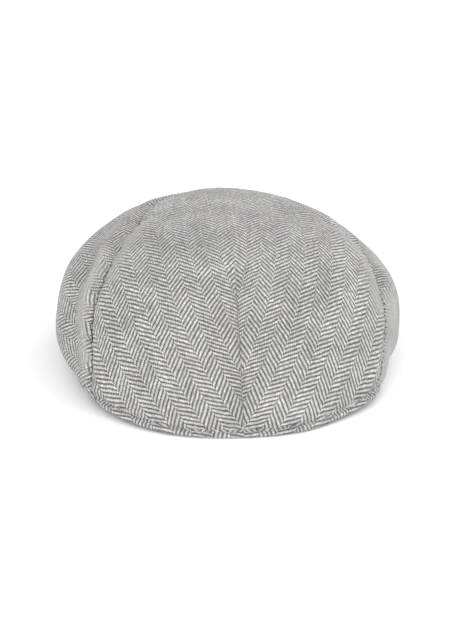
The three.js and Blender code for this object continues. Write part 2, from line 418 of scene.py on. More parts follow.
    def seam_level_on(self, side: Side, away: np.ndarray) -> np.ndarray:
        """The side seam's level. Before the peak's corner it is below the rim.

        Args:
            side: The side.
            away: Angles from the front.

        Returns:
            Levels.
        """
        (first, *_), (second, *_) = self.seam.rows[0], self.seam.rows[1]
        rise = self.seam.rows[1][self.seam.columns.index(side.value)] / (second - first)
        return np.where(away < first, (away - first) * rise, self.seam.at(side.value, away))

    def seam_level(self, angle: np.ndarray) -> np.ndarray:
        """The side seam's level at any angle.

        Args:
            angle: Angles, in degrees.

        Returns:
            Levels.
        """
        away = np.abs(angle)
        left, right = self.seam_level_on(Side.LEFT, away), self.seam_level_on(Side.RIGHT, away)
        return np.where(angle < 0, left, right)

    def seam_distance(self, angle: np.ndarray, level: np.ndarray) -> np.ndarray:
        """Millimetres from the side seam, above 0 on the top panel.

        Args:
            angle: Angles, in degrees.
            level: Levels.

        Returns:
            Signed distances.
        """
        seam = self.seam_level(angle)
        away = np.abs(angle)
        slopes = [
            self.seam_level_on(side, away + 0.5) - self.seam_level_on(side, away - 0.5) for side in Side
        ]
        slope = np.where(angle < 0, slopes[0], slopes[1])
        frame_there = self.frame_at(angle, np.maximum(0, seam))
        return (level - seam) / np.hypot(1 / frame_there.per_level, slope / frame_there.per_degree)

    def fold_shares(
        self, angle: np.ndarray, level: np.ndarray, at: Frame
    ) -> list[tuple[Fold, np.ndarray, np.ndarray]]:
        """Each fold with its height at the nearest place of its line, and how much of it is left here.

        Args:
            angle: Angles, in degrees.
            level: Levels.
            at: The form's frame there.

        Returns:
            Folds, heights in millimetres and shares from 0 to 1.
        """
        found = []
        for fold in self.folds:
            nearest, height = np.full(np.shape(angle), np.inf), np.zeros(np.shape(angle))
            for (angle_0, level_0, height_0), (angle_1, level_1, height_1) in zip(fold.line, fold.line[1:]):
                run = (angle_1 - angle_0) * at.per_degree
                rise = (level_1 - level_0) * at.per_level
                across = (angle - angle_0) * at.per_degree
                above = (level - level_0) * at.per_level
                share = np.clip((across * run + above * rise) / (run * run + rise * rise), 0, 1)
                distance = np.hypot(across - share * run, above - share * rise)
                closer = distance < nearest
                height = np.where(closer, height_0 + (height_1 - height_0) * share, height)
                nearest = np.minimum(nearest, distance)
            found.append((fold, height, bump(nearest, fold.width)))
        return found

    def nap_and_sheen(self, angle: np.ndarray, level: np.ndarray) -> np.ndarray:
        """How far the lighter nap colour hides the weave along the folds. On the right side this is painted
        sheen, standing in for the light from the right that grazes the rolls there.
        """
        shares = self.fold_shares(angle, level, self.frame_at(angle, level))
        return np.minimum(sum(fold.nap_and_sheen * share for fold, _, share in shares), 1)

    def relief(self, angle: np.ndarray, level: np.ndarray, at: Frame, seam: np.ndarray) -> np.ndarray:
        """How far the cloth stands out from the smooth form, without its small detail.

        Args:
            angle: Angles, in degrees.
            level: Levels.
            at: The form's frame there.
            seam: Distances from the side seam.

        Returns:
            Heights in millimetres.
        """
        side_height, side_offset, side_width = self.side_puff
        top_height, top_offset, top_width = self.top_puff
        back_depth, back_width = self.back_seam
        from_rim = smoothstep(0, self.rim_fade_level, level)
        soft = self.seam_softness(angle)
        depth, width = (c + (s - c) * soft for c, s in zip(self.crisp_furrow, self.soft_furrow))
        total = -depth * bump(seam, width)
        total += side_height * bump(seam + side_offset, side_width)
        total += top_height * bump(seam - top_offset, top_width)
        dart_line = np.abs(angle) * at.per_degree
        total -= self.dart_depth * np.exp(-dart_line / self.dart_width) * self.dart_share(level)
        back_line = (180 - np.abs(angle)) * at.per_degree
        total -= np.where(seam < 0, back_depth * bump(back_line, back_width), 0)
        folds = sum(height * share for _, height, share in self.fold_shares(angle, level, at))
        return from_rim * (total + folds)

    def seam_softness(self, angle: np.ndarray) -> np.ndarray:
        """0 where the side seam is crisp, by the peak, and 1 where it lies in a soft hollow."""
        return smoothstep(*self.seam_softens, np.abs(angle))

    def corner_trim(self, angle: np.ndarray, level: np.ndarray) -> np.ndarray:
        """How far the front corners are drawn in toward the crown's middle, in millimetres."""
        low = 1 - smoothstep(0, self.corner_trim_level, level)
        return low * sum(trim.depth * bump(angle - trim.angle, trim.width) for trim in self.corner_trims)

    def dart_share(self, level: np.ndarray) -> np.ndarray:
        """1 along the dart and 0 past its tip."""
        return 1 - smoothstep(self.dart_tip_level - self.dart_fade, self.dart_tip_level, level)

    def detail(self, angle: np.ndarray, level: np.ndarray, at: Frame, seam: np.ndarray) -> np.ndarray:
        """The small forms of the cloth: pinched seams, puckers, the stitched edge and soft unevenness.

        Args:
            angle: Angles, in degrees.
            level: Levels.
            at: The form's frame there.
            seam: Distances from the side seam.

        Returns:
            Heights in millimetres.
        """
        places = self.point(angle, level)
        from_rim = smoothstep(0, self.rim_fade_level, level)
        depth = self.pinch[0] + (self.soft_pinch - self.pinch[0]) * self.seam_softness(angle)
        total = -depth * np.exp(-np.abs(seam) / self.pinch[1])
        dart_line = np.abs(angle) * at.per_degree
        total -= self.dart_pinch[0] * np.exp(-dart_line / self.dart_pinch[1]) * self.dart_share(level)
        back_line = (180 - np.abs(angle)) * at.per_degree
        total -= np.where(seam < 0, self.pinch[0] * np.exp(-back_line / self.pinch[1]), 0)
        near_seam = bump(seam, self.pucker_reach) + self.dart_pucker * bump(dart_line, self.pucker_reach)
        total += near_seam * self.puckers.at(places) + self.softness.at(places)
        from_edge = np.maximum(level, 0) * at.per_level
        on_front = seam > 0
        depth, width = self.edge_groove
        roll = self.edge_roll * np.sin(np.clip(from_edge / self.edge_groove_at, 0, 1) * math.pi)
        groove = roll - depth * bump(from_edge - self.edge_groove_at, width)
        share = 1 - smoothstep(self.corner_angle - self.edge_fade, self.corner_angle, np.abs(angle))
        return from_rim * total + np.where(on_front, groove * share, 0)

    def cloth(
        self, angle: np.ndarray, level: np.ndarray, fine: bool = True
    ) -> tuple[np.ndarray, np.ndarray]:
        """The cloth's outer and inner face.

        Args:
            angle: Angles, in degrees.
            level: Levels.
            fine: Whether the outer face has its small detail.

        Returns:
            Points of the outer face and points of the inner face.
        """
        angle, level = np.broadcast_arrays(np.asarray(angle, float), np.asarray(level, float))
        at = self.frame_at(angle, level)
        seam = self.seam_distance(angle, level)
        broad = self.relief(angle, level, at, seam)
        a = np.radians(angle)
        inward = np.stack([-np.sin(a), np.cos(a), np.zeros_like(a)], -1)
        base = self.point(angle, level) + at.normal * broad[..., None]
        base = base + inward * self.corner_trim(angle, level)[..., None]
        hem = inward * self.sections.at("hem", np.abs(angle))[..., None]
        square = -at.normal * self.wall
        share = np.clip(level / self.rim_fade_level, 0, 1)[..., None]
        inner = base + hem * (1 - share) + square * share
        if not fine:
            return base, inner
        return base + at.normal * self.detail(angle, level, at, seam)[..., None], inner


def smooth_sample(grid: np.ndarray, row: np.ndarray, column: np.ndarray) -> np.ndarray:
    """Reads a coarse grid between its places, with a smooth curve both ways.

    Args:
        grid: Values, rows by columns by components.
        row: Row positions, which may have a fraction.
        column: Column positions, which may have a fraction.

    Returns:
        Values at those positions.
    """
    padded = np.pad(grid, ((1, 1), (1, 1), (0, 0)), mode="edge")
    padded[0] = 2 * padded[1] - padded[2]
    padded[-1] = 2 * padded[-2] - padded[-3]
    padded[:, 0] = 2 * padded[:, 1] - padded[:, 2]
    padded[:, -1] = 2 * padded[:, -2] - padded[:, -3]

    def weights(u: np.ndarray) -> list[np.ndarray]:
        """The four weights of a smooth curve through its points."""
        return [
            (-(u**3) + 2 * u**2 - u) / 2,
            (3 * u**3 - 5 * u**2 + 2) / 2,
            (-3 * u**3 + 4 * u**2 + u) / 2,
            (u**3 - u**2) / 2,
        ]

    r = np.clip(np.floor(row).astype(int), 0, grid.shape[0] - 2)
    c = np.clip(np.floor(column).astype(int), 0, grid.shape[1] - 2)
    total = 0
    for i, row_weight in enumerate(weights(row - r)):
        for j, column_weight in enumerate(weights(column - c)):
            total = total + padded[r + i, c + j] * (row_weight * column_weight)[..., None]
    return total


@dataclass
class FlatCut:
    """Where each place on the sewn cloth lay in the flat cloth, in millimetres, by angle and level.

    The first value is measured across the grain and the second along it.
    """

    angles: np.ndarray
    levels: np.ndarray
    grid: np.ndarray

    def at(self, angle: np.ndarray, level: np.ndarray) -> np.ndarray:
        """Places in the flat cloth.

        Args:
            angle: Angles, counted as the cut's own are.
            level: Levels.

        Returns:
            Flat places, with the coordinates last.
        """
        column = np.interp(angle, self.angles, np.arange(len(self.angles)))
        row = np.interp(level, self.levels, np.arange(len(self.levels)))
        return smooth_sample(self.grid, row, column)

    @classmethod
    def settled(
        cls,
        form: CapForm,
        angles: np.ndarray,
        levels: np.ndarray,
        worth: np.ndarray,
        joined: np.ndarray,
        grain: np.ndarray,
        hold: np.ndarray,
        rounds: int = 40,
        steps: int = 5,
    ) -> "FlatCut":
        """Lays a sewn panel flat with as little stretch as its shape allows.

        Args:
            form: The form that the panel lies on.
            angles: Angles of the columns, from 0 to 360 or on one side only.
            levels: Levels of the rows.
            worth: For each place, how much it counts: 1 on the panel and little beside it.
            joined: A number for each place. Places with the same number lie together when flat.
            grain: For each place, the direction on the cloth in which its grain should run.
            hold: For each place, how firmly the grain keeps to that direction.
            rounds: How often the cloth is let settle.
            steps: In how many steps a length between two places is measured, over the folds.

        Returns:
            The flat cut.
        """
        places = np.unique(joined, return_inverse=True)[1].reshape(joined.shape)
        rows, columns = joined.shape
        number = np.arange(rows * columns).reshape(rows, columns)
        quads = (number[:-1, :-1], number[:-1, 1:], number[1:, 1:], number[1:, :-1])
        a, b, c, d = (part.ravel() for part in quads)
        corners = np.concatenate([np.stack(t, -1) for t in ((a, b, c), (a, c, d), (a, b, d), (b, c, d))])
        angle, level = (part.ravel() for part in np.meshgrid(angles, levels))
        share = np.linspace(0, 1, steps + 1)

        def length(start: np.ndarray, end: np.ndarray) -> np.ndarray:
            """Lengths over the cloth from some places to others.

            Args:
                start: Numbers of the places to start from.
                end: Numbers of the places to end at.

            Returns:
                Lengths in millimetres.
            """
            around = angle[start, None] + (angle[end] - angle[start])[:, None] * share
            up = level[start, None] + (level[end] - level[start])[:, None] * share
            points, _ = form.cloth(np.where(around > 180, around - 360, around), up, fine=False)
            return np.linalg.norm(np.diff(points, axis=1), axis=-1).sum(1)

        points, _ = form.cloth(np.where(angle > 180, angle - 360, angle), level, fine=False)
        p = points[corners]
        across, beside = p[:, 1] - p[:, 0], p[:, 2] - p[:, 0]
        whole = np.linalg.norm(np.cross(across, beside), axis=1) > 1e-3
        corners, across, beside = corners[whole], across[whole], beside[whole]
        e1 = unit(across)
        e2 = np.cross(unit(np.cross(across, beside)), e1)
        x1 = length(corners[:, 0], corners[:, 1])
        far, last = length(corners[:, 0], corners[:, 2]), length(corners[:, 1], corners[:, 2])
        x2 = (x1**2 + far**2 - last**2) / (2 * x1)
        y2 = np.sqrt(np.maximum(far**2 - x2**2, (0.1 * far) ** 2))
        area = x1 * y2 / 2
        zero = np.zeros_like(x1)
        slopes = np.stack([np.stack(s, -1) for s in ((-y2, x2 - x1), (y2, -x2), (zero, x1))], 1)
        slopes /= 2 * area[:, None, None]
        wanted = grain.reshape(-1, 3)[corners].mean(1)
        along = unit(np.stack([(wanted * e1).sum(1), (wanted * e2).sum(1)], -1))
        goal = np.stack([np.stack([along[:, 1], -along[:, 0]], -1), along], 1)
        firm = hold.ravel()[corners].mean(1)[:, None, None]
        area = area * worth.ravel()[corners].mean(1)
        vertex = places.ravel()[corners]
        count = int(places.max()) + 1
        stiffness = np.zeros((count, count))
        for i in range(3):
            for j in range(3):
                share = area * (slopes[:, i] * slopes[:, j]).sum(1)
                np.add.at(stiffness, (vertex[:, i], vertex[:, j]), share)
        answer = np.linalg.inv(stiffness + np.eye(count) * 1e-7)
        turned = goal
        for _ in range(rounds):
            pull = np.zeros((count, 2))
            for i in range(3):
                np.add.at(pull, vertex[:, i], area[:, None] * np.einsum("tj,tkj->tk", slopes[:, i], turned))
            flat = answer @ pull
            stretch = np.einsum("tik,tij->tkj", flat[vertex], slopes) + firm * goal
            turn = np.arctan2(stretch[:, 1, 0] - stretch[:, 0, 1], stretch[:, 0, 0] + stretch[:, 1, 1])
            cos, sin = np.cos(turn), np.sin(turn)
            turned = np.stack([np.stack([cos, -sin], -1), np.stack([sin, cos], -1)], 1)
        return cls(angles, levels, flat[places])


@dataclass
class ClothSheet:
    """A panel of cloth as a closed wall: an outer and an inner face, and rounded edges between them."""

    outer: np.ndarray
    inner: np.ndarray
    faces: list[np.ndarray]
    maps: list[np.ndarray]
    border: np.ndarray
    border_maps: np.ndarray
    nap_and_sheen: np.ndarray | None = None
    edge_loops: int = 5
    roundness: float = 1.0

    @property
    def flat_size(self) -> tuple[float, float]:
        """Size of the flat cloth.

        Returns:
            Its width across the grain and its length along it, in millimetres.
        """
        low = np.min([m.reshape(-1, 2).min(axis=0) for m in self.maps], axis=0)
        high = np.max([m.reshape(-1, 2).max(axis=0) for m in self.maps], axis=0)
        width, length = high - low
        return float(width), float(length)

    @property
    def flat_area(self) -> float:
        """Area of the flat cloth.

        Returns:
            The area in square millimetres.
        """
        total = 0.0
        for corners in self.maps:
            following = np.roll(corners, -1, axis=1)
            twice = (corners[..., 0] * following[..., 1] - corners[..., 1] * following[..., 0]).sum(axis=1)
            total += float(np.abs(twice).sum() / 2)
        return total

    def edges(self) -> tuple[np.ndarray, np.ndarray]:
        """The rounded edge's loops, and how far each has gone round the edge.

        Returns:
            Points, loops by border places, and for each the length from the outer face.
        """
        start, end = self.outer[self.border], self.inner[self.border]
        along = unit(np.roll(start, -1, axis=0) - np.roll(start, 1, axis=0))
        across = end - start
        radius = np.linalg.norm(across, axis=-1, keepdims=True) / 2
        out = unit(np.cross(across, along))
        turns = np.linspace(0, math.pi, self.edge_loops + 2)[1:-1]
        loops = [
            (start + end) / 2 - across / 2 * math.cos(t) + out * radius * self.roundness * math.sin(t)
            for t in turns
        ]
        return np.array(loops), np.array([radius[:, 0] * t for t in turns])

    def mesh(self, name: str) -> bpy.types.Mesh:
        """Makes the closed mesh with its cloth map.

        Args:
            name: The mesh's name.

        Returns:
            The mesh, in metres.
        """
        count, size = len(self.outer), len(self.border)
        loops, gone = self.edges()
        points = np.concatenate([self.outer, self.inner, loops.reshape(-1, 3)]) * MM
        points[:, 2] = np.maximum(points[:, 2], 0)
        here = np.arange(size)
        following = np.roll(here, -1)
        loop_rings = [2 * count + k * size + here for k in range(len(loops))]
        rings = [self.border, *loop_rings, self.border + count]
        gone = np.concatenate([np.zeros((1, size)), gone, gone[-1:] + gone[:1]])
        start, end = self.border_maps[:, 0], self.border_maps[:, 1]
        run = unit(end - start)
        out = np.stack([run[:, 1], -run[:, 0]], -1)
        faces = [*self.faces, *(f[:, ::-1] + count for f in self.faces)]
        maps = [*self.maps, *(m[:, ::-1] for m in self.maps)]
        for k in range(len(rings) - 1):
            low, high = rings[k + 1], rings[k]
            faces.append(np.stack([low, low[following], high[following], high], -1))
            near, far = gone[k][:, None], gone[k + 1][:, None]
            near_end, far_end = gone[k][following][:, None], gone[k + 1][following][:, None]
            corners = [start + out * far, end + out * far_end, end + out * near_end, start + out * near]
            maps.append(np.stack(corners, 1))
        mesh = bpy.data.meshes.new(name)
        mesh.from_pydata(points.tolist(), [], [face for block in faces for face in block.tolist()])
        layer = mesh.uv_layers.new(name=CLOTH_MAP)
        flat = np.concatenate([m.reshape(-1, 2) for m in maps]).astype(np.float32)
        layer.uv.foreach_set("vector", flat.ravel())
        if self.nap_and_sheen is not None:
            stored = mesh.attributes.new(NAP_AND_SHEEN_ATTRIBUTE, "FLOAT", "POINT")
            everywhere = np.concatenate([self.nap_and_sheen, np.zeros(len(points) - count)])
            stored.data.foreach_set("value", everywhere.astype(np.float32))
        mesh.shade_smooth()
        mesh.validate()
        return mesh


def grid_sheet(outer: np.ndarray, inner: np.ndarray, flat: np.ndarray) -> ClothSheet:
    """A sheet from grids with the same rows and columns.

    Args:
        outer: Outer face, rows by columns.
        inner: Inner face.
        flat: Places in the flat cloth.

    Returns:
        The sheet.
    """
    rows, columns = outer.shape[:2]
    index = np.arange(rows * columns).reshape(rows, columns)
    places = flat.reshape(-1, 2)
    quads = np.stack([index[:-1, :-1], index[:-1, 1:], index[1:, 1:], index[1:, :-1]], -1).reshape(-1, 4)
    border = np.concatenate([index[0, :-1], index[:-1, -1], index[-1, :0:-1], index[:0:-1, 0]])
    border_maps = np.stack([places[border], places[np.roll(border, -1)]], 1)
    faces, maps = [quads], [places[quads]]
    return ClothSheet(outer.reshape(-1, 3), inner.reshape(-1, 3), faces, maps, border, border_maps)


@dataclass
class Piece:
    """A finished piece: its mesh, its material and what it stands for."""

    name: str
    mesh: bpy.types.Mesh
    material: bpy.types.Material
    slot: Slot
    replaces: str | None = None

    def place(self) -> bpy.types.Object:
        """Puts the piece in the scene, on the cap's one body.

        Returns:
            The piece's object.
        """
        piece = in_scene(self.name, self.mesh)
        if self.mesh.materials:
            self.mesh.materials[0] = self.material
        else:
            self.mesh.materials.append(self.material)
        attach(piece, "root")
        if self.replaces:
            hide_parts(self.replaces)
        triangles = sum(len(face.vertices) - 2 for face in self.mesh.polygons)
        LOG.info("%s: %d triangles", self.name, triangles)
        return piece


@dataclass
class TopPanel:
    """The front and top: one cloth with a centre dart, rolled round the peak's edge."""

    form: CapForm
    columns: int = 512
    fine_rows: int = 14
    fine_step: float = 0.0032
    rows: int = 84
    crowding: float = 0.15
    least_spacing: float = 1.05
    least_columns: int = 16
    rim_pull: float = 1.5
    seam_pull: float = 1.0
    cut_columns: int = 72
    cut_rows: int = 24
    beside_worth: float = 0.02
    beside_reach: float = 8
    crown_level: float = 0.72
    crown_hold: float = 0.4
    view_elevation: float = 22
    lean_from: float = 82.5
    lean: tuple[float, float, float] = (8.2, 0.125, 0.0007)
    lean_reach: float = 25
    lean_hold: float = 3
    tip_blend: float = 0.04
    least_facing: float = 0.05
    front_facing: tuple[float, float] = (0.25, 0.5)
    front_levels: tuple[float, float] = (0.8, 0.7)

    def column_angles(self) -> np.ndarray:
        """Angles of the outermost ring, spaced evenly along the panel's edge.

        Returns:
            Angles from 0 up to, but without, 360.
        """
        halves = []
        for side in (Side.RIGHT, Side.LEFT):
            away = np.linspace(0, 180, 1801)
            edge = np.maximum(0, self.form.seam_level_on(side, away))
            line = self.form.point(side.sign * away, edge)
            length = np.concatenate([[0], np.cumsum(np.linalg.norm(np.diff(line, axis=0), axis=1))])
            halves.append(np.interp(np.linspace(0, length[-1], self.columns // 2 + 1), length, away))
        return np.concatenate([halves[0][:-1], 360 - halves[1][:0:-1]])

    def shares(self) -> np.ndarray:
        """How far each ring is from the edge, 0, to the pole, 1.

        Returns:
            Shares, without the pole's own.
        """
        fine = np.arange(self.fine_rows) * self.fine_step
        u = np.linspace(0, 1, self.rows + 1)[:-1]
        crowded = u * (1 - self.crowding + self.crowding * u)
        rest = fine[-1] + self.fine_step + (1 - fine[-1] - self.fine_step) * crowded
        return np.concatenate([fine, rest])

    def levels(self, angle: np.ndarray, share: np.ndarray) -> np.ndarray:
        """Levels at shares of the way from the panel's edge to the pole.

        Args:
            angle: Angles, in degrees.
            share: Shares.

        Returns:
            Levels.
        """
        edge = np.maximum(0, self.form.seam_level(angle))
        at = self.form.frame_at(angle, edge)
        seam = self.form.seam_distance(angle, edge + 1)
        on_rim = np.abs(angle) < self.form.corner_angle
        pull = np.where(on_rim, self.rim_pull / at.per_level, self.seam_pull / seam)
        start = edge + pull
        return start + (1 - start) * share

    def signed(self, angle: np.ndarray) -> np.ndarray:
        """Angles from 0 to 360 as angles from -180 to 180."""
        return np.where(angle > 180, angle - 360, angle)

    def grain_at(
        self, places: np.ndarray, normal: np.ndarray, level: np.ndarray, half: np.ndarray
    ) -> tuple[np.ndarray, np.ndarray]:
        """Which way the grain runs, and how firmly that is known.

        Over the crown it runs from front to back. Down the front, seen from the front, it leans toward the
        dart, more so the lower it is.

        Args:
            places: Points on the panel.
            normal: The form's normals there.
            level: The form's levels there.
            half: 1 on the right half and -1 on the left.

        Returns:
            Directions, and how firmly they hold.
        """
        a = math.radians(self.view_elevation)
        toward = np.array([0, -math.cos(a), math.sin(a)])
        upright = np.array([0, math.sin(a), math.cos(a)])
        drop = np.maximum(0, self.lean_from - places @ upright)
        lean = np.radians(self.lean[0] + self.lean[1] * drop + self.lean[2] * drop**2)
        beside = np.tanh(places[..., 0] / self.lean_reach)
        tip = self.form.dart_tip_level
        below_tip = 1 - smoothstep(tip - self.tip_blend, tip + self.tip_blend, level)
        lean = lean * (beside * (1 - below_tip) + half * below_tip)
        seen = np.sin(lean)[..., None] * [1.0, 0, 0] + np.cos(lean)[..., None] * upright
        facing = np.maximum(normal @ toward, self.least_facing)
        front = seen - toward * ((seen * normal).sum(-1) / facing)[..., None]
        back = np.cross(normal, np.broadcast_to([1.0, 0, 0], normal.shape))
        in_front = smoothstep(*self.front_facing, facing) * smoothstep(*self.front_levels, level)
        direction = unit(unit(back) * (1 - in_front[..., None]) + unit(front) * in_front[..., None])
        firm = in_front * self.lean_hold + smoothstep(self.crown_level, 1, level) * self.crown_hold
        return direction, firm

    def flat_cut(self) -> FlatCut:
        """The panel laid flat, open along the dart, with its grain from front to back.

        Returns:
            The flat cut, for angles from 0 to 360.
        """
        form = self.form
        angles, levels = np.linspace(0, 360, self.cut_columns + 1), np.linspace(0, 1, self.cut_rows)
        around, level = np.meshgrid(angles, levels)
        angle = self.signed(around)
        outer, _ = form.cloth(angle, level, fine=False)
        inside = smoothstep(-self.beside_reach, 0, form.seam_distance(angle, level))
        worth = np.maximum(self.beside_worth, inside)
        joined = np.arange(level.size).reshape(level.shape)
        whole = levels > form.dart_tip_level
        joined[whole, -1] = joined[whole, 0]
        joined[-1] = joined[-1, 0]
        normal = form.frame_at(angle, level).normal
        grain, hold = self.grain_at(outer, normal, level, np.where(around < 180, 1, -1))
        cut = FlatCut.settled(form, angles, levels, worth, joined, grain, hold)
        return FlatCut(angles, levels, cut.grid - cut.grid[-1, 0])

    def build(self) -> ClothSheet:
        """Builds the panel.

        Returns:
            The sheet.
        """
        angles, cut = self.column_angles(), self.flat_cut()
        rings, flats, count = [], [], self.columns
        for share in self.shares():
            around = angles[:: self.columns // count]
            level = self.levels(self.signed(around), np.full(len(around), share))
            spacing = np.linalg.norm(np.diff(self.form.point(around, level), axis=0), axis=1).mean()
            if spacing < self.least_spacing and count > self.least_columns:
                count //= 2
                around, level = around[::2], level[::2]
            rings.append((self.signed(around), level))
            flats.append(cut.at(np.append(around, 360), np.append(level, level[0])))
        rings.append((np.zeros(1), np.ones(1)))
        flats.append(cut.at(np.zeros(1), np.ones(1)))
        angle, level = (np.concatenate([ring[k] for ring in rings]) for k in (0, 1))
        outer, inner = self.form.cloth(angle, level)
        faces, maps = self.ring_faces(flats)
        border, border_maps = np.arange(self.columns), np.stack([flats[0][:-1], flats[0][1:]], 1)
        return ClothSheet(outer, inner, faces, maps, border, border_maps, self.form.nap_and_sheen(angle, level))

    @staticmethod
    def ring_faces(flats: list[np.ndarray]) -> tuple[list[np.ndarray], list[np.ndarray]]:
        """Faces between the rings, where a ring may have half the columns of the one below it.

        Args:
            flats: Each ring's places in the flat cloth, with its first one again at its end, and the pole's.

        Returns:
            Blocks of faces, and each corner's place in the flat cloth.
        """
        counts = [len(flat) - 1 for flat in flats[:-1]]
        starts = np.concatenate([[0], np.cumsum(counts)])
        faces, maps = [], []

        def corner(ring: int, column: np.ndarray) -> tuple[np.ndarray, np.ndarray]:
            """Vertex numbers and flat places of some columns of a ring."""
            return starts[ring] + column % counts[ring], flats[ring][column]

        def add(*corners: tuple[np.ndarray, np.ndarray]) -> None:
            """Adds one block of faces."""
            faces.append(np.stack([vertex for vertex, _ in corners], -1))
            maps.append(np.stack([place for _, place in corners], 1))

        for ring in range(len(counts) - 1):
            here = np.arange(counts[ring + 1])
            if counts[ring] == counts[ring + 1]:
                upper = corner(ring + 1, here + 1), corner(ring + 1, here)
                add(corner(ring, here), corner(ring, here + 1), *upper)
                continue
            add(corner(ring, 2 * here), corner(ring, 2 * here + 1), corner(ring + 1, here))
            add(corner(ring, 2 * here + 1), corner(ring + 1, here + 1), corner(ring + 1, here))
            add(corner(ring, 2 * here + 1), corner(ring, 2 * here + 2), corner(ring + 1, here + 1))
        here, last = np.arange(counts[-1]), len(counts) - 1
        pole = (np.full(len(here), starts[-1]), np.tile(flats[-1], (len(here), 1)))
        add(corner(last, here), corner(last, here + 1), pole)
        return faces, maps


@dataclass
class SidePanel:
    """One side's cloth, from the peak's corner to the centre back and from the hem to the seam."""

    form: CapForm
    side: Side
    columns: int = 190
    rows: int = 76
    corner_inset: float = 0.8
    hem_roundness: float = 0.6
    row_crowding: float = 0.09
    spacing_level: float = 0.12
    back_level: float = 0.1
    least_height: float = 0.001
    seam_pull: float = 0.55
    back_pull: float = 0.55
    cut_columns: int = 60
    cut_rows: int = 24
    cut_top: float = 0.8
    beside_worth: float = 0.02
    beside_reach: float = 8
    grain_angle: float = 84
    grain_level: float = 0.4
    grain_reach: tuple[float, float] = (20, 0.25)
    grain_hold: float = 1
    least_hold: float = 0.02

    def shares(self, count: int) -> np.ndarray:
        """Shares of the way from the hem to the seam, closer together at both."""
        u = np.linspace(0, 1, count)
        return u - self.row_crowding * np.sin(2 * math.pi * u)

    def grid(self, columns: int, rows: int) -> tuple[np.ndarray, np.ndarray]:
        """Angles and levels of the panel's places.

        Args:
            columns: How many columns.
            rows: How many rows.

        Returns:
            Angles and levels, rows by columns, with the angle rising from column to column.
        """
        form, sign = self.form, self.side.sign
        away = np.linspace(form.corner_angle + self.corner_inset, 180, 1500)
        line = form.point(sign * away, np.full(len(away), self.spacing_level))
        length = np.concatenate([[0], np.cumsum(np.linalg.norm(np.diff(line, axis=0), axis=1))])
        spaced = np.interp(np.linspace(0, length[-1], columns), length, away)
        back = form.frame_at(np.array([180.0]), np.array([self.back_level]))
        spaced[-1] = 180 - self.back_pull / back.per_degree[0]
        angle = np.sort(sign * spaced)
        seam = form.seam_level(angle)
        top = seam - self.seam_pull / form.seam_distance(angle, seam + 1)
        at = form.frame_at(angle, np.zeros(len(angle)))
        pull = form.sections.at("hem", np.abs(angle)) / 2 * self.hem_roundness / at.per_level
        bottom = np.minimum(pull, np.maximum(top, 0) / 2)
        share = self.shares(rows)[:, None]
        level = bottom + (np.maximum(top, bottom + self.least_height) - bottom) * share
        return np.broadcast_to(angle, level.shape), level

    def flat_cut(self) -> FlatCut:
        """The panel laid flat, with its grain round the cap from back to front.

        Returns:
            The flat cut, for this side's own angles.
        """
        form = self.form
        angles = np.sort(self.side.sign * np.linspace(form.corner_angle, 180, self.cut_columns))
        levels = np.linspace(0, self.cut_top, self.cut_rows)
        angle, level = np.meshgrid(angles, levels)
        beside = smoothstep(0, self.beside_reach, form.seam_distance(angle, level))
        worth = np.maximum(self.beside_worth, 1 - beside)
        normal = form.frame_at(angle, level).normal
        grain = unit(np.cross(np.broadcast_to([0, 0, 1.0], normal.shape), normal))
        angle_reach, level_reach = self.grain_reach
        near = bump(np.abs(angle) - self.grain_angle, angle_reach)
        near = near * bump(level - self.grain_level, level_reach)
        hold = self.grain_hold * near + self.least_hold
        joined = np.arange(level.size).reshape(level.shape)
        return FlatCut.settled(form, angles, levels, worth, joined, grain, hold)

    def build(self) -> ClothSheet:
        """Builds the panel.

        Returns:
            The sheet.
        """
        angle, level = self.grid(self.columns, self.rows)
        outer, inner = self.form.cloth(angle, level)
        sheet = grid_sheet(outer, inner, self.flat_cut().at(angle, level))
        sheet.roundness = self.hem_roundness
        sheet.nap_and_sheen = self.form.nap_and_sheen(angle, level).ravel()
        return sheet


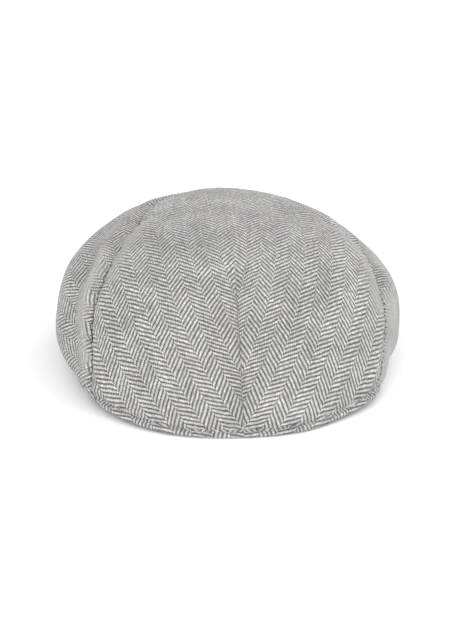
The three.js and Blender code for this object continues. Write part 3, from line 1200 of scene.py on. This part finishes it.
@dataclass
class Peak:
    """The stiff board of the peak, covered with cloth underneath."""

    form: CapForm
    end_angle: float = 72
    thickness: float = 3.5
    edge_lift: float = 1.2
    edge_gap: float = 0.3
    inner_rise: float = 15
    arch_span: float = 84
    opening_y: float = 14
    opening_half_width: float = 86
    opening_half_length: float = 98
    columns: int = 150
    rows: int = 36
    fit_level: float = 0.12
    fit_steps: int = 40
    fit_margin: float = 1
    edge_roundness: float = 0.7

    def inner_radius(self, angle: np.ndarray, height: np.ndarray) -> np.ndarray:
        """Smallest radius of the cloth's inner face from the rim up to a height.

        Args:
            angle: Angles, in degrees.
            height: Heights, one for each angle.

        Returns:
            Radii in millimetres.
        """
        levels = np.linspace(0, self.fit_level, self.fit_steps)[:, None]
        _, inner = self.form.cloth(np.broadcast_to(angle, (self.fit_steps, len(angle))), levels, fine=False)
        radius = np.hypot(inner[..., 0], inner[..., 1] - self.form.pole_y)
        return np.where(inner[..., 2] <= height + self.fit_margin, radius, np.inf).min(axis=0)

    def opening_radius(self, angle: np.ndarray) -> np.ndarray:
        """Radius of the head opening's front arc.

        Args:
            angle: Angles, in degrees.

        Returns:
            Radii in millimetres.
        """
        a = np.radians(angle)
        sx, sy = np.sin(a) / self.opening_half_width, -np.cos(a) / self.opening_half_length
        shift = (self.form.pole_y - self.opening_y) / self.opening_half_length
        square, half = sx * sx + sy * sy, sy * shift
        return (-half + np.sqrt(half * half - square * (shift * shift - 1))) / square

    def face(self, angle: np.ndarray, share: np.ndarray, lift: float) -> np.ndarray:
        """One face of the board.

        Args:
            angle: Angles, in degrees.
            share: Shares from the outer edge at 0 to the head opening at 1.
            lift: 0 for the lower face and 1 for the upper.

        Returns:
            Points, shares by angles.
        """
        edge = np.maximum(0, self.form.sections.at("rim_z", np.abs(angle))) + self.edge_lift
        arch = np.cos(np.radians(90) * angle / self.arch_span) ** 2
        outside = self.inner_radius(angle, edge + self.thickness * lift) - self.edge_gap
        inside = self.opening_radius(angle)
        radius = outside + (inside - outside) * share[:, None]
        rise = self.inner_rise * arch * np.sin(np.radians(90) * share[:, None])
        height = edge + rise + self.thickness * lift
        a = np.radians(angle)
        return np.stack([radius * np.sin(a), self.form.pole_y - radius * np.cos(a), height], -1)

    def build(self) -> ClothSheet:
        """Builds the board with its cover.

        Returns:
            The board as a closed wall.
        """
        angle = np.linspace(-self.end_angle, self.end_angle, self.columns)
        share = np.linspace(0, 1, self.rows)
        upper, lower = self.face(angle, share, 1), self.face(angle, share, 0)
        sheet = grid_sheet(upper, lower, lower[..., :2])
        sheet.roundness = self.edge_roundness
        return sheet


class Wiring:
    """Adds nodes to one tree and joins them."""

    def __init__(self, tree: bpy.types.NodeTree) -> None:
        """Keeps the tree."""
        self.tree = tree

    def node(
        self, kind: str, inputs: dict[str | int, object] | None = None, **settings: object
    ) -> bpy.types.Node:
        """Adds a node.

        Args:
            kind: The node's type.
            inputs: Sockets or plain values for its inputs, by name or number.
            settings: The node's own settings.

        Returns:
            The node.
        """
        node = self.tree.nodes.new(kind)
        for name, value in settings.items():
            setattr(node, name, value)
        for label, value in (inputs or {}).items():
            self.join(value, node.inputs[label])
        return node

    def join(self, value: object, socket: bpy.types.NodeSocket) -> None:
        """Links a socket to an input, or gives the input a plain value.

        Args:
            value: A socket or a plain value.
            socket: The input.
        """
        if isinstance(value, bpy.types.NodeSocket):
            self.tree.links.new(value, socket)
        else:
            socket.default_value = value

    def math(self, operation: str, *values: object, clamp: bool = False) -> bpy.types.NodeSocket:
        """One step of arithmetic."""
        inputs = dict(enumerate(values))
        return self.node("ShaderNodeMath", inputs, operation=operation, use_clamp=clamp).outputs[0]

    def plus(self, first: object, second: object) -> bpy.types.NodeSocket:
        """A sum."""
        return self.math("ADD", first, second)

    def minus(self, first: object, second: object) -> bpy.types.NodeSocket:
        """A difference."""
        return self.math("SUBTRACT", first, second)

    def times(self, first: object, second: object) -> bpy.types.NodeSocket:
        """A product."""
        return self.math("MULTIPLY", first, second)

    def line(self, value: object, base: float, slope: float) -> bpy.types.NodeSocket:
        """A base and a slope times a value."""
        return self.plus(base, self.times(value, slope))

    def ramp(
        self, value: object, low: float, high: float, to_low: float = 0, to_high: float = 1
    ) -> bpy.types.NodeSocket:
        """A smooth step from one value to another."""
        inputs = dict(enumerate((value, low, high, to_low, to_high)))
        return self.node("ShaderNodeMapRange", inputs, interpolation_type="SMOOTHSTEP").outputs[0]

    def mix(self, share: object, first: object, second: object) -> bpy.types.NodeSocket:
        """A mix of two colours."""
        inputs = {"Factor": share, 6: first, 7: second}
        return self.node("ShaderNodeMix", inputs, data_type="RGBA").outputs[2]

    def noise(
        self, place: object, scale: float, detail: float = 2, roughness: float = 0.5
    ) -> bpy.types.NodeSocket:
        """Soft noise about one half."""
        inputs = {"Vector": place, "Scale": scale, "Detail": detail, "Roughness": roughness}
        return self.node("ShaderNodeTexNoise", inputs, noise_dimensions="3D").outputs[0]

    def random(self, place: object) -> bpy.types.NodeSocket:
        """A random value for each whole number."""
        return self.node("ShaderNodeTexWhiteNoise", {"W": place}, noise_dimensions="1D").outputs["Value"]

    def random_at(self, place: object) -> bpy.types.NodeSocket:
        """A random value for each place."""
        inputs = {"Vector": place}
        return self.node("ShaderNodeTexWhiteNoise", inputs, noise_dimensions="3D").outputs["Value"]

    def scaled(self, colour: object, tone: object) -> bpy.types.NodeSocket:
        """A colour multiplied by a tone."""
        inputs = {0: colour, "Scale": tone}
        return self.node("ShaderNodeVectorMath", inputs, operation="SCALE").outputs[0]

    def vector(self, x: object, y: object, z: object = 0.0) -> bpy.types.NodeSocket:
        """A vector from three values."""
        return self.node("ShaderNodeCombineXYZ", {0: x, 1: y, 2: z}).outputs[0]

    def parts(self, vector: object) -> bpy.types.bpy_prop_collection:
        """The three values of a vector."""
        return self.node("ShaderNodeSeparateXYZ", {0: vector}).outputs


def shader_group(
    name: str, inputs: dict[str, tuple[str, object]], outputs: dict[str, str]
) -> bpy.types.NodeTree:
    """Starts a shader node group with its sockets.

    Args:
        name: The group's name.
        inputs: For each input its socket type and its default.
        outputs: For each output its socket type.

    Returns:
        The new group.
    """
    group = bpy.data.node_groups.new(name, "ShaderNodeTree")
    for label, (kind, default) in inputs.items():
        socket = group.interface.new_socket(label, in_out="INPUT", socket_type=kind)
        if default is not None:
            socket.default_value = default
    for label, kind in outputs.items():
        group.interface.new_socket(label, in_out="OUTPUT", socket_type=kind)
    return group


@dataclass(frozen=True)
class ClothNoise:
    """Soft noise over the weave: how often it changes across and along the grain, and its own settings."""

    across: float = 1.0
    along: float = 1.0
    layer: float = 0.0
    scale: float = 1.0
    detail: float = 2
    roughness: float = 0.5

    def wire(self, w: Wiring, u: object, v: object) -> bpy.types.NodeSocket:
        """The noise at a place in the weave."""
        place = w.vector(w.times(u, self.across), w.times(v, self.along), self.layer)
        return w.noise(place, self.scale, self.detail, self.roughness)


@dataclass(frozen=True)
class YarnTone:
    """A yarn's tone: its base, and how much whole yarns, single floats and fibres add to it."""

    base: float
    yarn: float
    single_float: float
    fibre: float

    def wire(self, w: Wiring, yarn: object, single_float: object, fibre: object) -> bpy.types.NodeSocket:
        """The tone from three values that vary."""
        varied = w.plus(w.times(yarn, self.yarn), w.times(single_float, self.single_float))
        return w.plus(self.base, w.plus(varied, w.times(fibre, self.fibre)))


@dataclass(frozen=True)
class HerringboneWeave:
    """The weave of a broken 2 and 2 twill: colour and height from a place in the flat cloth.

    Warp ends run along the grain. Each is up over two picks and down under two, one pick further on from
    end to end, and every few ends the slant turns round and jumps. Sizes are in ends and picks, a float's
    are its half length and half width, and the sway is in millimetres.
    """

    repeat: float = 4.0
    jump: float = 3.0
    sway: float = 1.6
    sway_scale: float = 0.16
    warp_float: tuple[float, float] = (1.15, 0.56)
    weft_float: tuple[float, float] = (1.2, 0.56)
    squareness: float = 2.4
    float_edge: tuple[float, float] = (0.55, 1.45)
    float_fall: float = 0.8
    raggedness: float = 2.6
    rag: ClothNoise = ClothNoise(layer=3.0, scale=1.9, roughness=0.6)
    fibre: ClothNoise = ClothNoise(2.6, 1.1, detail=3, roughness=0.65)
    slub: ClothNoise = ClothNoise(7.3, 0.17)
    slub_tone: tuple[float, float] = (0.8, 0.34)
    blotch: ClothNoise = ClothNoise(0.4, 0.3, layer=9.0, detail=3, roughness=0.6)
    blotch_tone: tuple[float, float] = (0.56, 0.88)
    warp_tone: YarnTone = YarnTone(0.56, 0.16, 0.38, 0.42)
    weft_tone: YarnTone = YarnTone(0.25, 0.3, 0.7, 0.6)
    weft_rise: float = 0.55
    warp_rise: tuple[float, float] = (0.35, 0.65)

    def float_of(
        self, w: Wiring, place: tuple[object, object], half_size: tuple[float, float], rag: object
    ) -> tuple[bpy.types.NodeSocket, bpy.types.NodeSocket]:
        """Where a yarn's float covers the cloth, and its rounded height.

        Args:
            w: The group's wiring.
            place: Where it is on the float, along and across.
            half_size: The float's half length and half width.
            rag: What makes its edge ragged.

        Returns:
            The cover and the height.
        """
        long, wide = (
            w.math("POWER", w.math("ABSOLUTE", w.math("DIVIDE", part, half)), self.squareness)
            for part, half in zip(place, half_size)
        )
        away = w.plus(long, wide)
        cover = w.ramp(w.plus(away, w.times(rag, self.raggedness)), *self.float_edge, 1, 0)
        return cover, w.math("SQRT", w.math("SUBTRACT", 1.0, w.times(away, self.float_fall), clamp=True))

    def group(self) -> bpy.types.NodeTree:
        """Builds the weave's shader group.

        Returns:
            The group.
        """
        group = shader_group(
            "Herringbone weave",
            {
                "Cloth": ("NodeSocketVector", None),
                "End pitch": ("NodeSocketFloat", 1.0),
                "Pick pitch": ("NodeSocketFloat", 0.9),
                "Ends": ("NodeSocketFloat", 10.0),
                "Warp": ("NodeSocketColor", (0.6, 0.6, 0.6, 1)),
                "Weft": ("NodeSocketColor", (0.2, 0.2, 0.2, 1)),
                "Gap": ("NodeSocketColor", (0.1, 0.1, 0.1, 1)),
                "Unevenness": ("NodeSocketFloat", 0.3),
            },
            {"Color": "NodeSocketColor", "Height": "NodeSocketFloat"},
        )
        w = Wiring(group)
        given = w.node("NodeGroupInput").outputs
        swaying = {"Vector": given["Cloth"], "Scale": self.sway_scale}
        wander = w.parts(w.node("ShaderNodeTexNoise", swaying, noise_dimensions="3D").outputs["Color"])
        flat = w.parts(given["Cloth"])
        u, v = (
            w.math("DIVIDE", w.plus(flat[k], w.times(w.minus(wander[k], 0.5), self.sway)), given[pitch])
            for k, pitch in enumerate(("End pitch", "Pick pitch"))
        )
        stripe = w.math("FLOOR", w.math("DIVIDE", u, given["Ends"]))
        turned = w.math("FLOORED_MODULO", stripe, 2.0)
        slant = w.minus(1.0, w.times(turned, 2.0))
        inside = w.minus(u, w.times(stripe, given["Ends"]))
        whole_u, end, pick = w.math("FLOOR", u), w.math("FLOOR", inside), w.math("FLOOR", v)
        across_end, across_pick = w.minus(w.minus(inside, end), 0.5), w.minus(w.minus(v, pick), 0.5)
        step_up = w.plus(w.times(slant, end), w.times(turned, self.jump))
        warp_step = w.plus(w.plus(v, step_up), 1.0)
        weft_step = w.minus(w.plus(pick, w.times(slant, inside)), 1.0)
        on_end, on_pick = (
            w.minus(w.math("FLOORED_MODULO", step, self.repeat), self.repeat / 2)
            for step in (warp_step, weft_step)
        )
        warp_number, weft_number = (
            w.math("FLOOR", w.math("DIVIDE", step, self.repeat)) for step in (warp_step, weft_step)
        )

        fibre = self.fibre.wire(w, u, v)
        slub = self.slub.wire(w, whole_u, v)
        blotch = self.blotch.wire(w, u, v)
        rag = w.minus(self.rag.wire(w, u, v), 0.5)
        warp_cover, warp_height = self.float_of(w, (on_end, across_end), self.warp_float, rag)
        weft_cover, weft_height = self.float_of(w, (on_pick, across_pick), self.weft_float, rag)
        one_warp_float = w.random_at(w.vector(whole_u, warp_number, 0.5))
        one_weft_float = w.random_at(w.vector(weft_number, pick, stripe))
        lightness = self.warp_tone.wire(w, w.random(whole_u), one_warp_float, fibre)
        lightness = w.times(lightness, w.line(slub, *self.slub_tone))
        lightness = w.times(lightness, w.line(blotch, *self.blotch_tone))
        darkness = self.weft_tone.wire(w, w.random(w.plus(pick, 0.37)), one_weft_float, fibre)

        ground = w.mix(weft_cover, given["Gap"], w.scaled(given["Weft"], darkness))
        colour = w.mix(warp_cover, ground, w.scaled(given["Warp"], lightness))
        low = w.times(w.times(weft_cover, weft_height), self.weft_rise)
        high = w.line(warp_height, *self.warp_rise)
        height = w.plus(low, w.times(warp_cover, w.minus(high, low)))
        height = w.plus(height, w.times(w.minus(fibre, 0.5), given["Unevenness"]))
        w.node("NodeGroupOutput", {"Color": colour, "Height": height})
        return group


@dataclass(frozen=True)
class WoolNap:
    """The nap of wool: fine fibres that lighten the cloth unevenly, and a soft unevenness of its surface."""

    hair_scale: float = 1900
    tuft_scale: float = 420
    patch_scale: float = 45
    hair_light: tuple[float, float] = (0.4, 0.7)
    cover_tone: tuple[float, float] = (0.75, 0.5)
    patch_tone: tuple[float, float] = (1.0, 2.0)
    roughness: tuple[float, float] = (0.84, 0.14)

    def group(self) -> bpy.types.NodeTree:
        """Builds the nap's shader group.

        Returns:
            The group.
        """
        group = shader_group(
            "Wool nap",
            {
                "Place": ("NodeSocketVector", None),
                "Color": ("NodeSocketColor", (0.5, 0.5, 0.5, 1)),
                "Cover": ("NodeSocketFloat", 0.0),
                "Nap": ("NodeSocketFloat", 0.12),
                "Patches": ("NodeSocketFloat", 0.28),
                "Nap color": ("NodeSocketColor", (0.5, 0.5, 0.5, 1)),
            },
            {"Color": "NodeSocketColor", "Roughness": "NodeSocketFloat", "Height": "NodeSocketFloat"},
        )
        w = Wiring(group)
        given = w.node("NodeGroupInput").outputs
        hairs = w.noise(given["Place"], self.hair_scale, 3, 0.7)
        tufts = w.noise(given["Place"], self.tuft_scale, 3, 0.6)
        patches = w.noise(given["Place"], self.patch_scale, 3)
        light = w.times(w.ramp(hairs, *self.hair_light), given["Nap"])
        cover = w.math("MULTIPLY", given["Cover"], w.line(hairs, *self.cover_tone), clamp=True)
        napped = w.mix(w.math("MAXIMUM", light, cover), given["Color"], given["Nap color"])
        uneven = w.plus(w.minus(patches, 0.5), w.minus(tufts, 0.5))
        tone = w.line(w.times(uneven, given["Patches"]), *self.patch_tone)
        rough = w.line(hairs, *self.roughness)
        w.node("NodeGroupOutput", {"Color": w.scaled(napped, tone), "Roughness": rough, "Height": hairs})
        return group


def new_material(name: str) -> tuple[bpy.types.Material, Wiring, bpy.types.NodeInputs]:
    """Starts a material.

    Args:
        name: The material's name.

    Returns:
        The material, its wiring and its shader's inputs.
    """
    material = bpy.data.materials.new(name)
    material.use_nodes = True
    return material, Wiring(material.node_tree), material.node_tree.nodes["Principled BSDF"].inputs


@dataclass(frozen=True)
class HerringboneFinish:
    """Wool herringbone: light warp, darker weft and the sizes of its weave in millimetres.

    Where the surface is seen edge on, the lighter nap colour covers the weave: grazing is where that starts,
    where it is most and how much it then is, and the pair after it is where the cover starts and is most
    along the folds that carry it. On the right side that cover along the folds is painted sheen for the
    light from the right.
    """

    name: str
    weave: bpy.types.NodeTree
    wool: bpy.types.NodeTree
    warp: tuple[float, float, float] = (0.535, 0.528, 0.521)
    weft: tuple[float, float, float] = (0.122, 0.119, 0.116)
    gap: tuple[float, float, float] = (0.056, 0.055, 0.054)
    nap: tuple[float, float, float] = (0.385, 0.38, 0.376)
    grazing: tuple[float, float, float] = (0.78, 1.0, 0.22)
    nap_and_sheen_from: tuple[float, float] = (0.02, 0.22)
    end_pitch: float = 1.01
    pick_pitch: float = 0.9
    relief: float = 0.35
    nap_relief: float = 0.08
    sheen: float = 0.12
    sheen_roughness: float = 0.4
    specular: float = 0.2

    def material(self) -> bpy.types.Material:
        """Makes the material.

        Returns:
            The material, whose pattern follows the piece's cloth map.
        """
        material, w, shader = new_material(self.name)
        cloth = w.node("ShaderNodeUVMap", uv_map=CLOTH_MAP).outputs["UV"]
        pitches = {"End pitch": self.end_pitch, "Pick pitch": self.pick_pitch}
        yarns = {"Warp": (*self.warp, 1), "Weft": (*self.weft, 1), "Gap": (*self.gap, 1)}
        inputs = {"Cloth": cloth, **pitches, **yarns}
        weave = w.node("ShaderNodeGroup", inputs, node_tree=self.weave).outputs
        low, high, most = self.grazing
        edge_on = w.node("ShaderNodeLayerWeight").outputs["Facing"]
        nap_and_sheen = w.node("ShaderNodeAttribute", attribute_name=NAP_AND_SHEEN_ATTRIBUTE).outputs["Fac"]
        # Along the folds the nap colour covers the weave; on the right side this is painted sheen for the
        # light from the right.
        rolled = w.times(nap_and_sheen, w.ramp(edge_on, *self.nap_and_sheen_from))
        inputs = {
            "Place": w.node("ShaderNodeTexCoord").outputs["Object"],
            "Color": weave["Color"],
            "Cover": w.math("MAXIMUM", rolled, w.ramp(edge_on, low, high, 0, most)),
            "Nap color": (*self.nap, 1),
        }
        nap = w.node("ShaderNodeGroup", inputs, node_tree=self.wool).outputs
        inputs = {"Distance": self.relief * MM, "Height": weave["Height"]}
        rough = w.node("ShaderNodeBump", inputs).outputs[0]
        inputs = {"Distance": self.nap_relief * MM, "Height": nap["Height"], "Normal": rough}
        finish = {
            "Base Color": nap["Color"],
            "Roughness": nap["Roughness"],
            "Normal": w.node("ShaderNodeBump", inputs).outputs[0],
            "Specular IOR Level": self.specular,
            "Sheen Weight": self.sheen,
            "Sheen Roughness": self.sheen_roughness,
        }
        for label, value in finish.items():
            w.join(value, shader[label])
        return material


@dataclass(frozen=True)
class ThreadFinish:
    """Twisted sewing thread."""

    name: str
    colour: tuple[float, float, float] = (0.07, 0.069, 0.068)
    twist_scale: float = 2600
    twist_tone: tuple[float, float] = (0.75, 0.35)
    relief: float = 0.05
    roughness: float = 0.7

    def material(self) -> bpy.types.Material:
        """Makes the material.

        Returns:
            The material.
        """
        material, w, shader = new_material(self.name)
        inputs = {"Vector": w.node("ShaderNodeTexCoord").outputs["Object"], "Scale": self.twist_scale}
        wave = w.node("ShaderNodeTexWave", inputs, wave_type="BANDS", bands_direction="DIAGONAL")
        twist = wave.outputs["Fac"]
        relief = w.node("ShaderNodeBump", {"Distance": self.relief * MM, "Height": twist}).outputs[0]
        w.join(w.scaled(self.colour, w.line(twist, *self.twist_tone)), shader["Base Color"])
        w.join(relief, shader["Normal"])
        w.join(self.roughness, shader["Roughness"])
        return material


@dataclass(frozen=True)
class Stitch:
    """One kind of stitch, in millimetres. Its sink is how deep its middle lies under the cloth's face."""

    lie: StitchLie
    pitch: float
    length: float
    thread: float
    sink: float
    wander: float = 0.12
    seed: int = 3


@dataclass
class StitchRow:
    """A row of stitches along a line on the cloth."""

    name: str
    line: np.ndarray
    normals: np.ndarray
    stitch: Stitch


@dataclass
class Stitching:
    """Sews rows of stitches with one Geometry Nodes tree."""

    material: bpy.types.Material
    edge: Stitch = Stitch(StitchLie.ALONG, 3.6, 2.8, 0.45, 0.3)
    seam: Stitch = Stitch(StitchLie.ACROSS, 4.4, 2.9, 0.85, -1.0)
    dart: Stitch = Stitch(StitchLie.ACROSS, 3.6, 1.5, 0.45, 0.35)
    edge_end_angle: float = 1
    edge_scale_level: float = 0.02
    seam_start_angle: float = 1.6
    seam_end_angle: float = 8
    dart_end_level: float = 0.04
    beside_zero: float = 0.001
    ball_segments: int = 10
    ball_rings: int = 6
    tree: bpy.types.NodeTree = field(init=False)

    def __post_init__(self) -> None:
        """Builds the tree."""
        self.tree = self.build_tree()

    def build_tree(self) -> bpy.types.NodeTree:
        """Builds the tree that sets a rounded stitch at each step of a line.

        Returns:
            The tree.
        """
        tree = bpy.data.node_groups.new("Stitch row", "GeometryNodeTree")
        face = tree.interface
        face.new_socket("Geometry", in_out="INPUT", socket_type="NodeSocketGeometry")
        sizes = {"Pitch": 0.0035, "Length": 0.003, "Thread": 0.0005, "Across": 0.0, "Wander": 0.1}
        for label, default in sizes.items():
            face.new_socket(label, in_out="INPUT", socket_type="NodeSocketFloat").default_value = default
        face.new_socket("Seed", in_out="INPUT", socket_type="NodeSocketInt").default_value = 1
        face.new_socket("Material", in_out="INPUT", socket_type="NodeSocketMaterial")
        face.new_socket("Geometry", in_out="OUTPUT", socket_type="NodeSocketGeometry")
        w = Wiring(tree)
        given = w.node("NodeGroupInput").outputs
        curve = w.node("GeometryNodeMeshToCurve", {"Mesh": given["Geometry"]}).outputs[0]
        inputs = {"Curve": curve, "Length": given["Pitch"]}
        even = w.node("GeometryNodeResampleCurve", inputs, mode="LENGTH").outputs[0]
        tangent = w.node("GeometryNodeInputTangent").outputs[0]
        inputs = {"Name": NORMAL_ATTRIBUTE}
        normal = w.node("GeometryNodeInputNamedAttribute", inputs, data_type="FLOAT_VECTOR").outputs[0]
        inputs = {0: normal, 1: tangent}
        across = w.node("ShaderNodeVectorMath", inputs, operation="CROSS_PRODUCT").outputs[0]
        inputs = {0: given["Across"], 4: tangent, 5: across}
        lie = w.node("ShaderNodeMix", inputs, data_type="VECTOR").outputs[1]
        along = w.node("FunctionNodeAlignRotationToVector", {"Vector": lie}, axis="X").outputs[0]
        inputs = {"Rotation": along, "Vector": normal}
        upright = w.node("FunctionNodeAlignRotationToVector", inputs, axis="Z", pivot_axis="X").outputs[0]
        inputs = {2: w.times(given["Wander"], -1.0), 3: given["Wander"], "Seed": given["Seed"]}
        turn = w.node("FunctionNodeRandomValue", inputs, data_type="FLOAT").outputs[1]
        angles = w.node("FunctionNodeEulerToRotation", {0: w.vector(0.0, 0.0, turn)}).outputs[0]
        inputs = {0: upright, 1: angles}
        rotated = w.node("FunctionNodeRotateRotation", inputs, rotation_space="LOCAL").outputs[0]
        inputs = {"Segments": self.ball_segments, "Rings": self.ball_rings, "Radius": 0.5}
        ball = w.node("GeometryNodeMeshUVSphere", inputs).outputs["Mesh"]
        size = w.vector(given["Length"], given["Thread"], given["Thread"])
        inputs = {"Points": even, "Instance": ball, "Rotation": rotated, "Scale": size}
        placed = w.node("GeometryNodeInstanceOnPoints", inputs).outputs[0]
        real = w.node("GeometryNodeRealizeInstances", {0: placed}).outputs[0]
        inputs = {"Geometry": real, "Material": given["Material"]}
        w.node("NodeGroupOutput", {0: w.node("GeometryNodeSetMaterial", inputs).outputs[0]})
        return tree

    def sew(self, row: StitchRow) -> bpy.types.Mesh:
        """Makes the stitches of one row.

        Args:
            row: The row.

        Returns:
            A plain mesh of all its stitches.
        """
        line = bpy.data.meshes.new(row.name)
        line.from_pydata((row.line * MM).tolist(), [(i, i + 1) for i in range(len(row.line) - 1)], [])
        stored = line.attributes.new(NORMAL_ATTRIBUTE, "FLOAT_VECTOR", "POINT")
        stored.data.foreach_set("vector", row.normals.astype(np.float32).ravel())
        carrier = in_scene(row.name, line)
        modifier = carrier.modifiers.new("stitches", "NODES")
        modifier.node_group = self.tree
        values = {
            "Pitch": row.stitch.pitch * MM,
            "Length": row.stitch.length * MM,
            "Thread": row.stitch.thread * MM,
            "Across": row.stitch.lie.value,
            "Wander": row.stitch.wander,
            "Seed": row.stitch.seed,
            "Material": self.material,
        }
        for item in self.tree.interface.items_tree:
            if item.in_out == "INPUT" and item.name in values:
                modifier[item.identifier] = values[item.name]
        evaluated = carrier.evaluated_get(bpy.context.evaluated_depsgraph_get())
        mesh = bpy.data.meshes.new_from_object(evaluated)
        mesh.name = row.name
        mesh.shade_smooth()
        bpy.data.objects.remove(carrier)
        bpy.data.meshes.remove(line)
        return mesh

    def rows_on(self, form: CapForm) -> list[StitchRow]:
        """The rows that the cap shows.

        Args:
            form: The cap's form.

        Returns:
            The peak's edge, the two side seams and the dart.
        """
        end = form.corner_angle - self.edge_end_angle
        angle = np.linspace(-end, end, 241)
        scale = form.frame_at(angle, np.full(len(angle), self.edge_scale_level)).per_level
        rows = [self.row_at(form, "edge_stitches", angle, form.edge_groove_at / scale, self.edge)]
        start, end = form.corner_angle + self.seam_start_angle, form.seam_softens[1] - self.seam_end_angle
        away = np.linspace(start, end, 200)
        for side in Side:
            angle, level = side.sign * away, form.seam_level_on(side, away)
            rows.append(self.row_at(form, f"seam_stitches_{side.value}", angle, level, self.seam))
        level = np.linspace(self.dart_end_level, form.dart_tip_level - self.dart_end_level, 200)
        angle = np.full(len(level), self.beside_zero)
        rows.append(self.row_at(form, "dart_stitches", angle, level, self.dart))
        return rows

    @staticmethod
    def row_at(
        form: CapForm, name: str, angle: np.ndarray, level: np.ndarray, stitch: Stitch
    ) -> StitchRow:
        """A row of stitches along a line given by angles and levels.

        Args:
            form: The cap's form.
            name: The row's name.
            angle: Angles of the line.
            level: Levels of the line.
            stitch: The kind of stitch.

        Returns:
            The row.
        """
        outer, _ = form.cloth(angle, level)
        normal = form.frame_at(angle, level).normal
        return StitchRow(name, outer - normal * stitch.sink, normal, stitch)


@dataclass(frozen=True)
class SoftLight:
    """A square area light: its place and side in metres, its power in watts, and the point it faces."""

    name: str
    place: tuple[float, float, float]
    size: float
    power: float
    aim: tuple[float, float, float] = (0, 0, 0.05)

    def hang(self) -> None:
        """Adds the light to the scene."""
        light = bpy.data.lights.new(self.name, "AREA")
        light.size = self.size
        light.energy = self.power
        piece = in_scene(self.name, light)
        piece.location = self.place
        piece.rotation_euler = (Vector(self.aim) - Vector(self.place)).to_track_quat("-Z", "Y").to_euler()


@dataclass(frozen=True)
class Studio:
    """A plain pale floor, soft light and the camera, in metres.

    The sky's strengths are at the horizon and overhead.
    """

    azimuth: float = -4.2
    elevation: float = 22
    distance: float = 1.4
    target: tuple[float, float, float] = (0.0022, -0.003, 0.0363)
    pixels_per_metre: float = 1400
    long_side_pixels: int = 620
    sensor: float = 36
    clip: tuple[float, float] = (0.05, 50)
    floor_radius: float = 6
    floor_grey: float = 0.96
    floor_roughness: float = 0.9
    floor_specular: float = 0.1
    sky: tuple[float, float] = (1.67, 0.81)
    key: SoftLight = SoftLight("key", (0.95, 0.45, 0.85), 1.6, 6)
    front: SoftLight = SoftLight("front", (-0.35, -1.6, 0.75), 1.4, 10.5)

    def floor(self) -> None:
        """Makes the floor."""
        mesh = bpy.data.meshes.new("floor")
        r = self.floor_radius
        mesh.from_pydata([(-r, -r, 0), (r, -r, 0), (r, r, 0), (-r, r, 0)], [], [(0, 1, 2, 3)])
        material, w, shader = new_material("pale floor")
        grey = self.floor_grey
        w.join((grey, grey, grey, 1), shader["Base Color"])
        w.join(self.floor_roughness, shader["Roughness"])
        w.join(self.floor_specular, shader["Specular IOR Level"])
        mesh.materials.append(material)
        piece = in_scene("floor", mesh)

    def sky_light(self) -> None:
        """Sets the soft light from all round, which changes from the horizon to overhead."""
        world = bpy.data.worlds.new("studio")
        bpy.context.scene.world = world
        world.use_nodes = True
        w = Wiring(world.node_tree)
        up = w.parts(w.node("ShaderNodeTexCoord").outputs["Generated"])[2]
        low, high = self.sky
        background = world.node_tree.nodes["Background"].inputs
        w.join((1, 1, 1, 1), background["Color"])
        w.join(w.line(w.math("MAXIMUM", up, 0.0), low, high - low), background["Strength"])

    def camera(self) -> None:
        """Sets the camera at the photograph's angle."""
        a, e = math.radians(self.azimuth), math.radians(self.elevation)
        back = Vector((math.sin(a) * math.cos(e), -math.cos(a) * math.cos(e), math.sin(e)))
        data = bpy.data.cameras.new("camera")
        data.sensor_width = self.sensor
        data.lens = self.pixels_per_metre * self.distance * self.sensor / self.long_side_pixels
        data.clip_start, data.clip_end = self.clip
        camera = in_scene("camera", data)
        camera.location = Vector(self.target) + back * self.distance
        camera.rotation_euler = back.to_track_quat("Z", "Y").to_euler()
        bpy.context.scene.camera = camera

    def set_up(self) -> None:
        """Makes the whole studio."""
        bpy.context.scene.view_settings.view_transform = "Standard"
        self.floor()
        self.sky_light()
        self.key.hang()
        self.front.hang()
        self.camera()


def main() -> None:
    """Builds the cap in order and dresses it."""
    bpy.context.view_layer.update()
    form = CapForm()
    weave, wool = HerringboneWeave().group(), WoolNap().group()
    cloth = HerringboneFinish("grey herringbone wool", weave, wool).material()
    under = HerringboneFinish("peak's herringbone cover", weave, wool).material()
    thread = ThreadFinish("grey sewing thread").material()

    panels = {"top_panel": TopPanel(form)}
    for side in Side:
        panels[f"side_panel_{side.value}"] = SidePanel(form, side)
    sheets = {node: panel.build() for node, panel in panels.items()}
    for node, sheet in sheets.items():
        name = f"{node}_cloth"
        Piece(name, sheet.mesh(name), cloth, Slot.HERRINGBONE, node).place()
    Piece("peak_board", Peak(form).build().mesh("peak_board"), under, Slot.PEAK_UNDER, "peak").place()

    stitching = Stitching(thread)
    for row in stitching.rows_on(form):
        Piece(row.name, stitching.sew(row), thread, Slot.HERRINGBONE).place()
    for side in Side:
        node = f"side_panel_{side.value}"

    Studio().set_up()


if __name__ == "__main__":
    logging.basicConfig(level=logging.INFO, format="%(name)s: %(message)s")
    main()
